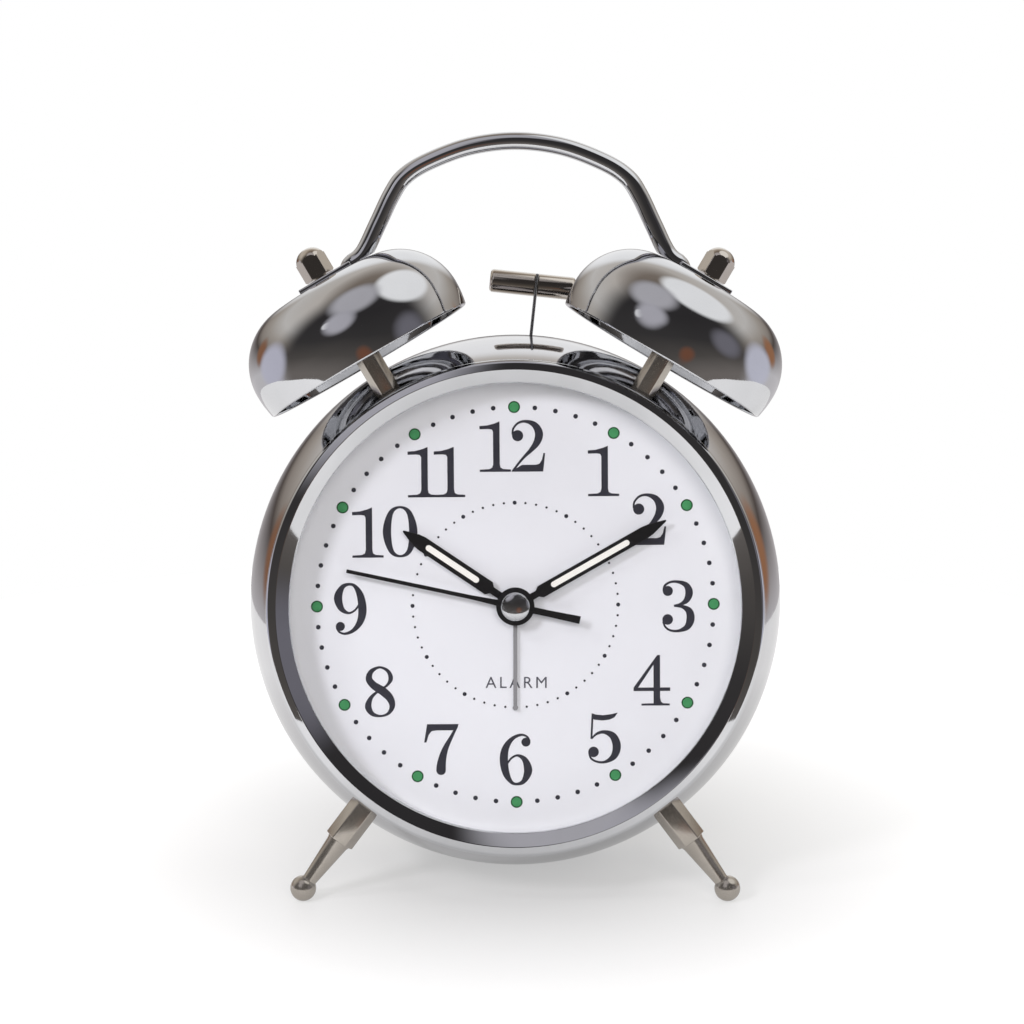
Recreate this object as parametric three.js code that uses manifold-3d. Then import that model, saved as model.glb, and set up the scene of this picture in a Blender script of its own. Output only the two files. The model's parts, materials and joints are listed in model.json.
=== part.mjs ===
// Twin-bell alarm clock, in millimetres, +Z up, front towards -Y, standing on the plane Z = 0.
// The clock is built upright in its own frame, with Y as its axis and Y = 0 at the front edge of
// the case, and a group then leans it back onto its two feet and the lower rear edge of the case.
import * as THREE from "three";
import { mergeVertices } from "three/addons/utils/BufferGeometryUtils.js";
import Module from "manifold-3d";

const wasm = await Module();
wasm.setup();

// ---- driving dimensions ----
const SHEET = 0.8; // steel sheet of the case
const GAP = 0.3; // air between two pieces that touch
const CASE_R = 59; // widest radius of the drum
const CASE_WIDEST = 22; // depth of the widest section behind the front edge
const CASE_MOUTH_R = 54.3;
const CASE_MOUTH = 3.3;
const CASE_REAR_R = 58.4;
const CASE_DEPTH = 44;
const REAR_EDGE = { r: 58.2, depth: 43.2 }; // the rounded rear edge that the clock leans on
const LIP_R = 52.2; // front edge of the bezel
const OPENING_R = 49.2; // visible opening of the dial
const DIAL_R = 52;
const DIAL_DEPTH = 10;
const DIAL_THICK = 0.5;
const COVER_DEPTH = 40;
const COVER_THICK = 1.8;

const BELL_ANGLE = 30.5; // degrees either side of straight up
const BELL_TILT = 3; // degrees that the bells lean back
const BELL_RIM_AT = 62.5; // distance of the rim plane from the clock's axis
const BELL_HEIGHT = 19.6;
const BELL_WALL = 1;
const POST_DEPTH = 6.3;
const POST_FLATS = 4.9;
const STUD_R = 1.5;
const HANDLE_R = 1.95;
const TAB_THICK = 1;
const NUT_FLATS = 6.1;
const NUT_LENGTH = 6.8;

const LEG_ANGLE = 36.9; // degrees either side of straight down
const LEG_DEPTH = 6.3;
const FOOT_AT = 77.7; // distance of the foot ball from the clock's axis
const FOOT_R = 2.85;
const FOOT_FLAT = 0.15; // depth of the worn flat under each ball

const HAMMER_DEPTH = 24.3;
const HAMMER_PIVOT_Z = 26;
const HAMMER_REST = 6; // degrees to the right of upright
const HAMMER_REACH = 44.3; // pivot to the head's axis
const HAMMER_R = 2.55;
const HAMMER_LENGTH = 19;
const WIRE_R = 0.35;

const TIME_KNOB = { x: -12, z: -12 };
const ALARM_KNOB = { x: 10.4, z: -10.4 };
const THIRD_Z = 13.6;
const FIFTH = { x: 9.5, z: 3.5 };
const ROTOR = { x: 15.1, z: 9.2 };
const MOTION_X = -12;
const MOTOR = { x: -16, z: 34 };
const STRIKER = { x: -7.2, z: 31 };
const CELL = { r: 7.1, length: 49, depth: 31, z: -31 };

const RAD = Math.PI / 180;
const LARGE = 48; // sides of the large round pieces

// ---- materials ----
const finish = (color, roughness, metalness) =>
  new THREE.MeshStandardMaterial({ color, roughness, metalness });
const chrome = finish(0xd8dadd, 0.08, 1);
const nickel = finish(0xb5aca0, 0.3, 1);
const steel = finish(0xa8aaad, 0.35, 1);
const brass = finish(0xc9a85a, 0.35, 1);
const copper = finish(0xb0603a, 0.4, 1);
const glass = new THREE.MeshStandardMaterial({
  color: 0xf4f8fa,
  roughness: 0.03,
  transparent: true,
  opacity: 0.2,
});
const dialWhite = finish(0xe4e6ee, 0.5, 0);
const handBlack = finish(0x141416, 0.4, 0.1);
const inlayWhite = finish(0xf2f2ee, 0.6, 0);
const handGrey = finish(0x8c8c8c, 0.4, 0.3);
const blackPlastic = finish(0x1b1b1d, 0.5, 0);
const whitePlastic = finish(0xdcdcd8, 0.5, 0);
const circuitGreen = finish(0x2c6b3c, 0.5, 0);
const cellLabel = finish(0x2f5fa8, 0.4, 0.1);

// ---- solids ----
// A closed geometry as a manifold-3d solid, and back again as a geometry.
function solid(geometry) {
  const source = geometry.clone();
  source.deleteAttribute("normal");
  source.deleteAttribute("uv");
  const merged = mergeVertices(source, 1e-4);
  const vertProperties = new Float32Array(merged.attributes.position.array);
  const triVerts = new Uint32Array(merged.index.array);
  return new wasm.Manifold(new wasm.Mesh({ numProp: 3, vertProperties, triVerts }));
}

function geometryOf(made) {
  const mesh = made.getMesh();
  const geometry = new THREE.BufferGeometry();
  const points = new Float32Array(mesh.vertProperties);
  geometry.setAttribute("position", new THREE.BufferAttribute(points, 3));
  geometry.setIndex(new THREE.BufferAttribute(new Uint32Array(mesh.triVerts), 1));
  return geometry;
}

const join = (...geometries) => geometryOf(geometries.map(solid).reduce((a, b) => a.add(b)));
const cut = (geometry, ...tools) =>
  geometryOf(tools.map(solid).reduce((a, b) => a.subtract(b), solid(geometry)));
const common = (a, b) => geometryOf(solid(a).intersect(solid(b)));

// A closed profile of [radius, depth] points turned about the Y axis.
function turned(profile, segments) {
  const points = profile.map(([r, y]) => new THREE.Vector2(r, y));
  const onAxis = profile[0][0] === 0;
  if (!onAxis) points.push(points[0].clone());
  return new THREE.LatheGeometry(points, segments);
}

// A washer or tube about the Y axis: inner radius, outer radius, front depth, rear depth.
const ring = (inner, outer, front, rear, segments) =>
  turned([[inner, front], [outer, front], [outer, rear], [inner, rear]], segments);
const disc = (r, front, rear, segments) =>
  turned([[0, front], [r, front], [r, rear], [0, rear]], segments);

// An outline of [x, z] points given its thickness from the front depth to the rear depth.
function plate(shape, front, rear, curveSegments = 8) {
  const options = { depth: rear - front, bevelEnabled: false, curveSegments };
  return new THREE.ExtrudeGeometry(shape, options).rotateX(Math.PI / 2).translate(0, rear, 0);
}

const outline = (points) => new THREE.Shape(points.map(([x, z]) => new THREE.Vector2(x, z)));

function box(x0, x1, y0, y1, z0, z1) {
  const block = new THREE.BoxGeometry(x1 - x0, y1 - y0, z1 - z0);
  return block.translate((x0 + x1) / 2, (y0 + y1) / 2, (z0 + z1) / 2);
}

// A toothed disc with pointed teeth about the Y axis.
function toothed(teeth, tipR, toothDepth, front, rear) {
  const points = [];
  for (let i = 0; i < teeth; i += 1) {
    const step = (2 * Math.PI) / teeth;
    points.push([tipR * Math.cos(i * step), tipR * Math.sin(i * step)]);
    const rootR = tipR - toothDepth;
    points.push([rootR * Math.cos((i + 0.5) * step), rootR * Math.sin((i + 0.5) * step)]);
  }
  return plate(outline(points), front, rear);
}

// A hexagonal bar along Z with a flat facing the front.
function hexBar(flats, z0, z1) {
  const bar = new THREE.CylinderGeometry(flats / Math.sqrt(3), flats / Math.sqrt(3), z1 - z0, 6);
  return bar.rotateX(Math.PI / 2).rotateZ(Math.PI / 6).translate(0, 0, (z0 + z1) / 2);
}

// A shape turned about the Z axis, from [radius, height] points listed upwards.
function turnedUp(profile, segments) {
  const points = profile.map(([r, z]) => new THREE.Vector2(r, z));
  return new THREE.LatheGeometry(points, segments).rotateX(Math.PI / 2);
}

const rod = (r, z0, z1, segments) =>
  turnedUp([[0, z0], [r, z0], [r, z1], [0, z1]], segments);

function named(name, geometry, material) {
  const mesh = new THREE.Mesh(geometry, material);
  mesh.name = name;
  return mesh;
}

// ---- case ----
// The drum bulges from its mouth to its widest section on one arc and then tapers slightly.
function drumRadius(depth) {
  if (depth > CASE_WIDEST) {
    const share = (depth - CASE_WIDEST) / (CASE_DEPTH - CASE_WIDEST);
    return CASE_R - (CASE_R - CASE_REAR_R) * share * share;
  }
  const rise = CASE_R - CASE_MOUTH_R;
  const run = CASE_WIDEST - CASE_MOUTH;
  const arc = (run * run + rise * rise) / (2 * rise);
  return CASE_R - arc + Math.sqrt(arc * arc - (CASE_WIDEST - depth) ** 2);
}

function drumProfile() {
  const outer = [];
  for (const depth of [CASE_MOUTH, 6, 10, 15, CASE_WIDEST, 32, 41.5]) {
    outer.push([drumRadius(depth), depth]);
  }
  const rear = [
    [REAR_EDGE.r, REAR_EDGE.depth],
    [REAR_EDGE.r - 1.2, CASE_DEPTH],
    [55.2, CASE_DEPTH],
    [55.2, CASE_DEPTH - SHEET],
  ];
  const inner = [];
  for (const depth of [42.6, 32, CASE_WIDEST, 14, 8, CASE_MOUTH]) {
    inner.push([drumRadius(depth) - SHEET, depth]);
  }
  return [...outer, ...rear, ...inner];
}

const COVER_SCREWS = [90, 210, 330].map((angle) => ({
  x: 52 * Math.cos(angle * RAD),
  z: 52 * Math.sin(angle * RAD),
  angle,
}));

function screwLug({ angle }) {
  const lug = box(49, 58, 37.4, COVER_DEPTH - GAP, -3.2, 3.2);
  const trimmed = common(lug, disc(57.9, 30, 42, LARGE));
  return trimmed.rotateY(-angle * RAD);
}

function caseBarrel() {
  const shell = join(turned(drumProfile(), LARGE), ...COVER_SCREWS.map(screwLug));
  const holes = COVER_SCREWS.map(({ x, z }) => disc(1.2, 36, 42, 12).translate(x, 0, z));
  const slot = box(-8.5, 8.5, 22.4, 26.2, 45, 65);
  const studHoles = [BELL_ANGLE, -BELL_ANGLE, 180 - LEG_ANGLE, 180 + LEG_ANGLE].map((angle, i) => {
    const drill = rod(STUD_R + 0.45, 50, 60, 16);
    const tilt = i < 2 ? BELL_TILT : 0;
    drill.rotateY(angle * RAD).rotateX(-tilt * RAD);
    return drill.translate(0, i < 2 ? TOP_DEPTH : LEG_DEPTH, 0);
  });
  return cut(shell, ...holes, slot, ...studHoles);
}

// The bell assembly leans back about the clock's centre, so its group starts nearer the front.
const TOP_DEPTH = POST_DEPTH - 54 * Math.cos(BELL_ANGLE * RAD) * Math.sin(BELL_TILT * RAD);

// The bezel is one pressed ring: outer bead, front edge, sloping inner wall, rolled inner edge,
// and a skirt that plugs into the drum.
function bezelRing() {
  const outer = [
    [OPENING_R + 1.1, 4],
    [OPENING_R + 0.3, 3.8],
    [OPENING_R, 3],
    [OPENING_R + 0.2, 1.8],
    [51.9, 0.1],
    [LIP_R, 0],
    [53.2, 0.3],
    [53.9, 1],
    [54.3, 2.1],
    [54.1, 3],
  ];
  const skirt = [
    [53.2, 3],
    [53.2, 9.6],
    [52.4, 9.6],
    [52.4, 1.6],
    [52.1, 1.3],
  ];
  return turned([...outer, ...skirt], LARGE);
}

function rearCover() {
  const shell = disc(56.9, COVER_DEPTH, COVER_DEPTH + COVER_THICK, LARGE);
  const rim = ring(50, 51.2, COVER_DEPTH - 1.5, COVER_DEPTH + 0.2, LARGE);
  const rimGaps = COVER_SCREWS.map(({ angle }) =>
    box(48, 53, 38, COVER_DEPTH, -4, 4).rotateY(-angle * RAD),
  );
  const through = (r, { x, z }) => disc(r, 36, 44, 20).translate(x, 0, z);
  return cut(
    join(shell, cut(rim, ...rimGaps)),
    through(2.2, TIME_KNOB),
    through(2.2, ALARM_KNOB),
    ...COVER_SCREWS.map((at) => through(1.3, at)),
    box(-27, 27, 36, 44, -38, -24),
    box(-5.6, 5.6, 36, 44, 11.9, 16.1),
  );
}

function coverScrew({ x, z }) {
  const front = COVER_DEPTH + COVER_THICK + GAP;
  const head = turned([[0, front], [2.6, front], [2.4, front + 0.9], [1.4, front + 1.3], [0, front + 1.3]], 12);
  const slots = [box(-1.5, 1.5, front + 0.7, front + 2, -0.3, 0.3), box(-0.3, 0.3, front + 0.7, front + 2, -1.5, 1.5)];
  const screw = join(cut(head, ...slots), disc(0.9, front - 6.5, front + 0.2, 10));
  return screw.translate(x, 0, z);
}

function batteryDoor() {
  const front = COVER_DEPTH + COVER_THICK + GAP;
  const lid = box(-29, 29, front, front + 1.4, -40.2, -21.8);
  const plug = box(-26.6, 26.6, COVER_DEPTH - 0.2, front + 0.1, -37.6, -24.4);
  const ribs = [];
  for (let i = 0; i < 4; i += 1) {
    ribs.push(box(-6, 6, front + 1.3, front + 1.8, -36 + 1.6 * i, -35.2 + 1.6 * i));
  }
  return join(lid, plug, ...ribs);
}

// ---- bells, posts, nuts and handle, each built along Z away from the clock's axis ----
function bellProfile(wall) {
  const points = [];
  const cornerR = 13.9 - wall;
  const cornerZ = BELL_RIM_AT + 5.6;
  points.push([24.3 - wall, BELL_RIM_AT]);
  points.push([24.9 - wall, BELL_RIM_AT + 2.6]);
  for (let i = 0; i <= 4; i += 1) {
    const angle = i * 19.5 * RAD;
    points.push([11.1 + cornerR * Math.cos(angle), cornerZ + cornerR * Math.sin(angle)]);
  }
  points.push([6, BELL_RIM_AT + BELL_HEIGHT - wall]);
  return points;
}

function bell() {
  const crown = BELL_RIM_AT + BELL_HEIGHT;
  const hole = STUD_R + GAP;
  const outer = [...bellProfile(0), [hole, crown]];
  const inner = [...bellProfile(BELL_WALL), [hole, crown - BELL_WALL]].reverse();
  const closed = [...outer, ...inner, outer[0]];
  return turnedUp(closed, 32);
}

// The foot of a post or leg follows the drum that it stands on.
function footed(piece, depth, angle, tilt) {
  const rows = [];
  for (const d of [0.5, CASE_MOUTH, 5.5, 8, 11, 14.5]) {
    rows.push([drumRadius(Math.max(d, CASE_MOUTH)) + GAP, d]);
  }
  const drum = turned([[0, 0.5], ...rows, [0, 14.5]], 48);
  const seat = drum.translate(0, -depth, 0).rotateX(tilt * RAD).rotateY(-angle * RAD);
  return cut(piece, seat);
}

function post(angle) {
  const top = BELL_RIM_AT + BELL_HEIGHT - BELL_WALL - GAP;
  const shaft = footed(hexBar(POST_FLATS, 52, top), TOP_DEPTH, angle, BELL_TILT);
  const studTop = top + BELL_WALL + TAB_THICK + 5.5;
  return join(shaft, rod(STUD_R, 53.6, 58, 14), rod(STUD_R, top - 1, studTop, 14));
}

const TAB_AT = BELL_RIM_AT + BELL_HEIGHT + GAP;
const NUT_AT = TAB_AT + TAB_THICK + GAP;

function domedNut() {
  const blank = turnedUp(
    [
      [0, NUT_AT],
      [3.2, NUT_AT],
      [3.52, NUT_AT + 0.35],
      [3.52, NUT_AT + 4.6],
      [3.3, NUT_AT + 5.4],
      [2.7, NUT_AT + 6.15],
      [1.6, NUT_AT + 6.65],
      [0, NUT_AT + NUT_LENGTH],
    ],
    18,
  );
  const body = common(blank, hexBar(NUT_FLATS, NUT_AT - 1, NUT_AT + 9));
  return cut(body, rod(STUD_R + 0.25, NUT_AT - 1, NUT_AT + 5.4, 14));
}

// The handle's centre line in the bells' plane: a flattened tab on each bell, a rising leg,
// a round shoulder and a shallow arch between the shoulders.
function handleLine() {
  const side = (sign) => {
    const along = (t) => {
      const x = TAB_AT + TAB_THICK / 2;
      const sin = Math.sin(BELL_ANGLE * RAD);
      const cos = Math.cos(BELL_ANGLE * RAD);
      return new THREE.Vector3(sign * (sin * x - cos * t), 0, cos * x + sin * t);
    };
    return [along(4.6), along(6.4), new THREE.Vector3(sign * 34.2, 0, 77.6)];
  };
  const left = side(-1);
  const right = side(1).reverse();
  const arch = [
    new THREE.Vector3(-30.6, 0, 83.6),
    new THREE.Vector3(-27.6, 0, 90.2),
    new THREE.Vector3(-24.6, 0, 94),
    new THREE.Vector3(-19, 0, 97.2),
    new THREE.Vector3(-10, 0, 100.5),
    new THREE.Vector3(0, 0, 101.7),
  ];
  const mirrored = arch.slice(0, -1).reverse().map((p) => new THREE.Vector3(-p.x, 0, p.z));
  return new THREE.CatmullRomCurve3([...left, ...arch, ...mirrored, ...right], false, "centripetal");
}

function handleTab(sign) {
  const shape = new THREE.Shape();
  const halfWidth = 3.4;
  shape.moveTo(-5.6, -halfWidth);
  shape.lineTo(3.2, -halfWidth);
  shape.lineTo(7.2, -1.6);
  shape.lineTo(7.2, 1.6);
  shape.lineTo(3.2, halfWidth);
  shape.lineTo(-5.6, halfWidth);
  const hole = new THREE.Path();
  hole.absarc(0, 0, STUD_R + GAP, 0, 2 * Math.PI, true);
  shape.holes.push(hole);
  const options = { depth: TAB_THICK, bevelEnabled: false, curveSegments: 7 };
  const tab = new THREE.ExtrudeGeometry(shape, options);
  if (sign > 0) tab.rotateZ(Math.PI);
  return tab.translate(0, 0, TAB_AT).rotateY(sign * BELL_ANGLE * RAD);
}

function carryHandle() {
  const section = new THREE.Shape();
  section.absarc(0, 0, HANDLE_R, 0, 2 * Math.PI, false);
  const options = { extrudePath: handleLine(), steps: 44, curveSegments: 4, bevelEnabled: false };
  const bar = new THREE.ExtrudeGeometry(section, options);
  const clearBells = [-1, 1].map((sign) => {
    const under = rod(27, BELL_RIM_AT, BELL_RIM_AT + BELL_HEIGHT + GAP, 48);
    return under.rotateY(sign * BELL_ANGLE * RAD);
  });
  const clearNuts = [-1, 1].map((sign) => {
    const over = rod(4.1, TAB_AT + TAB_THICK, NUT_AT + 9, 24);
    return over.rotateY(sign * BELL_ANGLE * RAD);
  });
  return join(cut(bar, ...clearBells, ...clearNuts), handleTab(-1), handleTab(1));
}

// ---- legs ----
function leg(angle) {
  const hex = footed(hexBar(6, 52, 64.5), LEG_DEPTH, angle, 0);
  const cone = turnedUp(
    [
      [0, 63.5],
      [2.9, 63.5],
      [2.55, 65],
      [1.6, FOOT_AT - 2],
      [1.6, FOOT_AT],
      [0, FOOT_AT],
    ],
    12,
  );
  const ball = new THREE.SphereGeometry(FOOT_R, 14, 10).translate(0, 0, FOOT_AT);
  const whole = join(hex, cone, ball, rod(STUD_R, 53.6, 60, 14));
  const ground = box(-10, 10, -10, 10, -FOOT_R - 5, -FOOT_R + FOOT_FLAT);
  ground.rotateX(LEAN).translate(0, 0, 0);
  const foot = new THREE.Vector3(0, 0, FOOT_AT).applyAxisAngle(AXIS_Y, angle * RAD);
  ground.translate(foot.x, foot.y, foot.z).rotateY(-angle * RAD);
  return cut(whole, ground);
}

const AXIS_Y = new THREE.Vector3(0, 1, 0);

// The lean puts the flats of the feet and the rounded lower rear edge of the drum on one plane.
function leanAngle() {
  const footZ = -FOOT_AT * Math.cos(LEG_ANGLE * RAD);
  const run = REAR_EDGE.depth - LEG_DEPTH;
  const drop = -footZ - REAR_EDGE.r;
  const clear = FOOT_R - FOOT_FLAT;
  return Math.asin(clear / Math.hypot(run, drop)) + Math.atan2(drop, run);
}
const LEAN = leanAngle();

// ---- hands, built pointing up and turned clockwise by their angle ----
function handBlade({ neckW, bodyW, bodyFrom, taperFrom, length, slotFrom, slotTo, slotW }) {
  const shape = outline([
    [-neckW / 2, 0],
    [neckW / 2, 0],
    [neckW / 2, bodyFrom - 0.8],
    [bodyW / 2, bodyFrom],
    [bodyW / 2, taperFrom],
    [0.25, length],
    [-0.25, length],
    [-bodyW / 2, taperFrom],
    [-bodyW / 2, bodyFrom],
    [-neckW / 2, bodyFrom - 0.8],
  ]);
  const hole = new THREE.Path();
  const r = slotW / 2;
  hole.absarc(0, slotTo - r, r, 0, Math.PI, false);
  hole.absarc(0, slotFrom + r, r, Math.PI, 2 * Math.PI, false);
  shape.holes.push(hole);
  return shape;
}

function slottedHand(blade, front, rear, hubR, boreR) {
  const body = plate(handBlade(blade), front, rear, 4);
  return cut(join(body, disc(hubR, front, rear, 28)), disc(boreR, front - 1, rear + 1, 20));
}

function inlay({ slotFrom, slotTo, slotW }, front, rear) {
  const r = slotW / 2 - 0.2;
  const shape = new THREE.Shape();
  shape.absarc(0, slotTo - slotW / 2, r, 0, Math.PI, false);
  shape.absarc(0, slotFrom + slotW / 2, r, Math.PI, 2 * Math.PI, false);
  return plate(shape, front, rear, 4);
}

const HOUR = {
  neckW: 1.6, bodyW: 3.2, bodyFrom: 7, taperFrom: 24.7, length: 29.6, slotFrom: 9.6, slotTo: 23.5, slotW: 1.7,
};
const MINUTE = {
  neckW: 1.5, bodyW: 2.8, bodyFrom: 6.4, taperFrom: 32.5, length: 38, slotFrom: 9, slotTo: 28.8, slotW: 1.6,
};
const HOUR_ANGLE = 303.8;
const MINUTE_ANGLE = 60.2;
const SECOND_ANGLE = 281.9;
const ALARM_ANGLE = 180;
const HAND_FRONTS = { second: 6.9, minute: 7.6, hour: 8.3, alarm: 9.1 };
const HAND_THICK = 0.3;

function secondHand() {
  const front = HAND_FRONTS.second;
  const blade = outline([[-0.7, 0], [0.7, 0], [0.45, 10], [0.35, 37.8], [-0.35, 37.8], [-0.45, 10]]);
  const tail = outline([[-0.65, 0], [-0.85, -14.5], [0.85, -14.5], [0.65, 0]]);
  const rear = front + HAND_THICK;
  const whole = join(plate(blade, front, rear), plate(tail, front, rear), disc(4.2, front, rear, 32));
  return cut(whole, disc(0.8, front - 1, rear + 1, 12));
}

function alarmHand() {
  const front = HAND_FRONTS.alarm;
  const rear = front + 0.25;
  const blade = plate(outline([[-0.45, 0], [0.45, 0], [0.4, 22.6], [-0.4, 22.6]]), front, rear);
  const tip = disc(0.6, front, rear, 12).translate(0, 0, 22.6);
  return cut(join(blade, tip, disc(3.9, front, rear, 28)), disc(3.2, front - 1, rear + 1, 24));
}

function centreCap() {
  const rear = HAND_FRONTS.second - GAP;
  const rise = 1;
  const points = [[0, rear - rise]];
  for (const share of [0.35, 0.65, 0.88, 1]) {
    points.push([3.2 * share, rear - rise * Math.sqrt(1 - share * share * 0.98)]);
  }
  return turned([...points, [3.2, rear], [0, rear]], 28);
}

// ---- movement ----
const BOX = { x: 26, z0: -18, z1: 34, front: 11, split: 16, rear: 21.6, wall: 1.2 };

function movementFront() {
  const outer = box(-BOX.x, BOX.x, BOX.front, BOX.split, BOX.z0, BOX.z1);
  const w = BOX.wall;
  const hollow = box(-BOX.x + w, BOX.x - w, BOX.front + 1, BOX.split + 1, BOX.z0 + w, BOX.z1 - w);
  return cut(outer, hollow, disc(3.3, BOX.front - 1, BOX.front + 2, 20));
}

function movementRear() {
  const outer = box(-BOX.x, BOX.x, BOX.split + GAP, BOX.rear, BOX.z0, BOX.z1);
  const w = BOX.wall;
  const hollow = box(-BOX.x + w, BOX.x - w, BOX.split - 1, BOX.rear - w, BOX.z0 + w, BOX.z1 - w);
  const through = ({ x, z }) => disc(1.6, BOX.rear - 3, BOX.rear + 1, 14).translate(x, 0, z);
  return cut(outer, hollow, through(TIME_KNOB), through(ALARM_KNOB));
}

// Wheel layers, as front depths. Teeth of meshing wheels stop just short of each other.
const LAYER = { alarm: 12.3, hour: 13.4, motion: 14.5, centre: 15.6, third: 16.7, second: 17.8, fifth: 18.9 };
const WHEEL = 0.6;

function pipedWheel(teeth, tipR, layer, pipeIn, pipeOut, pipeFront) {
  const wheel = toothed(teeth, tipR, 0.8, layer, layer + WHEEL);
  const pipe = disc(pipeOut, pipeFront, layer + WHEEL, 16);
  return [wheel, pipe, disc(pipeIn, pipeFront - 1, 30, 14)];
}

function alarmWheel() {
  const [wheel, pipe, bore] = pipedWheel(24, 9.6, LAYER.alarm, 2.4, 2.9, HAND_FRONTS.alarm);
  return cut(join(wheel, pipe), bore);
}

function hourWheel() {
  const [wheel, pipe, bore] = pipedWheel(24, 9.5, LAYER.hour, 1.6, 2.1, HAND_FRONTS.hour);
  return cut(join(wheel, pipe), bore);
}

function centreWheel() {
  const [wheel, pipe, bore] = pipedWheel(48, 12, LAYER.centre, 0.8, 1.3, HAND_FRONTS.minute);
  const pinion = toothed(8, 2.9, 0.6, LAYER.motion, LAYER.centre + 0.1);
  return cut(join(wheel, pipe, pinion), bore);
}

function secondWheel() {
  const wheel = toothed(30, 8.5, 0.7, LAYER.second, LAYER.second + WHEEL);
  const pinion = toothed(6, 1.6, 0.4, LAYER.third, LAYER.second + 0.1);
  return join(wheel, pinion, disc(0.5, HAND_FRONTS.second + 0.1, BOX.rear - BOX.wall - 0.2, 10));
}

function motionWheel() {
  const wheel = toothed(24, 8.9, 0.8, LAYER.motion, LAYER.motion + WHEEL);
  const pinion = toothed(6, 2.3, 0.5, LAYER.hour, LAYER.motion + 0.1);
  const pivot = disc(0.6, BOX.front + 1.2, LAYER.motion + WHEEL + 0.3, 10);
  return join(wheel, pinion, pivot).translate(MOTION_X, 0, 0);
}

function thirdWheel() {
  const wheel = toothed(45, 11.8, 0.6, LAYER.third, LAYER.third + WHEEL);
  const pinion = toothed(6, 1.45, 0.35, LAYER.centre, LAYER.third + 0.1);
  const pivot = disc(0.5, BOX.front + 1.2, BOX.rear - BOX.wall - 0.2, 10);
  return join(wheel, pinion, pivot).translate(0, 0, THIRD_Z);
}

function fifthWheel() {
  const wheel = toothed(36, 6.7, 0.5, LAYER.fifth, LAYER.fifth + WHEEL);
  const pinion = toothed(8, 1.4, 0.35, LAYER.second, LAYER.fifth + 0.1);
  const pivot = disc(0.4, LAYER.second - 0.4, BOX.rear - BOX.wall - 0.2, 10);
  return join(wheel, pinion, pivot).translate(FIFTH.x, 0, FIFTH.z);
}

function rotorPiece() {
  const pinion = toothed(6, 1.1, 0.3, LAYER.second + 0.9, LAYER.fifth + WHEEL);
  const magnet = disc(2.4, 12.6, 14.8, 16);
  return join(pinion, magnet, disc(0.35, 12.2, 20.2, 8)).translate(ROTOR.x, 0, ROTOR.z);
}

function knob({ x, z }, pinion, knobR, grooves) {
  const shaft = disc(1.2, pinion.front, 44, 12);
  const teeth = toothed(pinion.teeth, pinion.r, 0.6, pinion.front, pinion.front + WHEEL);
  const points = [];
  for (let i = 0; i < grooves * 2; i += 1) {
    const angle = (i * Math.PI) / grooves;
    const r = knobR - (i % 2) * 0.5;
    points.push([r * Math.cos(angle), r * Math.sin(angle)]);
  }
  const grip = plate(outline(points), 42.6, 49.4);
  const face = disc(knobR - 1.2, 49.2, 50, 24);
  return join(shaft, teeth, grip, face).translate(x, 0, z);
}

function statorPiece() {
  const yoke = box(11, 24, 12.8, 14, 5.2, 13.2);
  const arms = [box(11, 13.5, 12.8, 14, 12.6, 30), box(21.5, 24, 12.8, 14, 12.6, 30)];
  const bore = disc(2.9, 12, 15, 20).translate(ROTOR.x, 0, ROTOR.z);
  return cut(join(yoke, ...arms), bore);
}

function driveCoil() {
  const winding = rod(2.3, 12, 23, 16);
  const flanges = [rod(2.7, 12, 13, 16), rod(2.7, 22, 23, 16)];
  const whole = join(winding, ...flanges).rotateY(Math.PI / 2);
  return whole.translate(0, 17.1, 27.4);
}

function circuitBoard() {
  const board = box(-24, -13.2, 18.4, 19.4, 6, 31);
  return cut(board, disc(1, 17, 21, 10).translate(-20, 0, 28));
}

// ---- striker ----
function strikerBracket() {
  const front = BOX.rear + GAP;
  const wall = box(-24, 8, front, front + 1, 17, 43);
  const cradle = ring(6.3, 7.3, front + 0.5, front + 5.5, 28).translate(MOTOR.x, 0, MOTOR.z);
  const pivot = disc(0.8, front, 36, 10).translate(STRIKER.x, 0, STRIKER.z);
  const hub = disc(2.4, front, front + 1.4, 16).translate(0, 0, HAMMER_PIVOT_Z);
  const bore = disc(1.3, front - 1, front + 3, 14).translate(0, 0, HAMMER_PIVOT_Z);
  return cut(join(wall, cradle, pivot, hub), bore);
}

const strikerMotor = () =>
  join(disc(5.9, 23.3, 29.6, 24), disc(2, 29.4, 33.6, 14)).translate(MOTOR.x, 0, MOTOR.z);
const strikerPinion = () => toothed(9, 1.5, 0.4, 33.9, 36).translate(MOTOR.x, 0, MOTOR.z);

function strikerGear() {
  const wheel = toothed(36, 7.5, 0.7, 34.2, 35.6);
  const cam = disc(2.7, 30, 34.4, 20).translate(1.2, 0, 0);
  const bore = disc(1.1, 29, 37, 12);
  return cut(join(wheel, cam), bore).translate(STRIKER.x, 0, STRIKER.z);
}

// The hammer's pieces are built upright about their pivot.
function hammerLever() {
  const arbor = disc(1, BOX.rear + 0.5, 33.2, 14);
  const clamp = box(-2, 2, 25.1, 28, -1.6, 9);
  const tail = box(-2.4, 0.4, 30.2, 33, -0.8, 4.4);
  const screw = disc(1.2, 24.9, 28.5, 12).translate(0, 0, 6.4);
  const away = box(-3, 3, 24, 25.1, 4, 9);
  return join(arbor, clamp, tail, cut(screw, away));
}

const hammerWire = () =>
  rod(WIRE_R, 2.2, HAMMER_REACH + HAMMER_R, 8).translate(0, HAMMER_DEPTH, 0);

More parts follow.
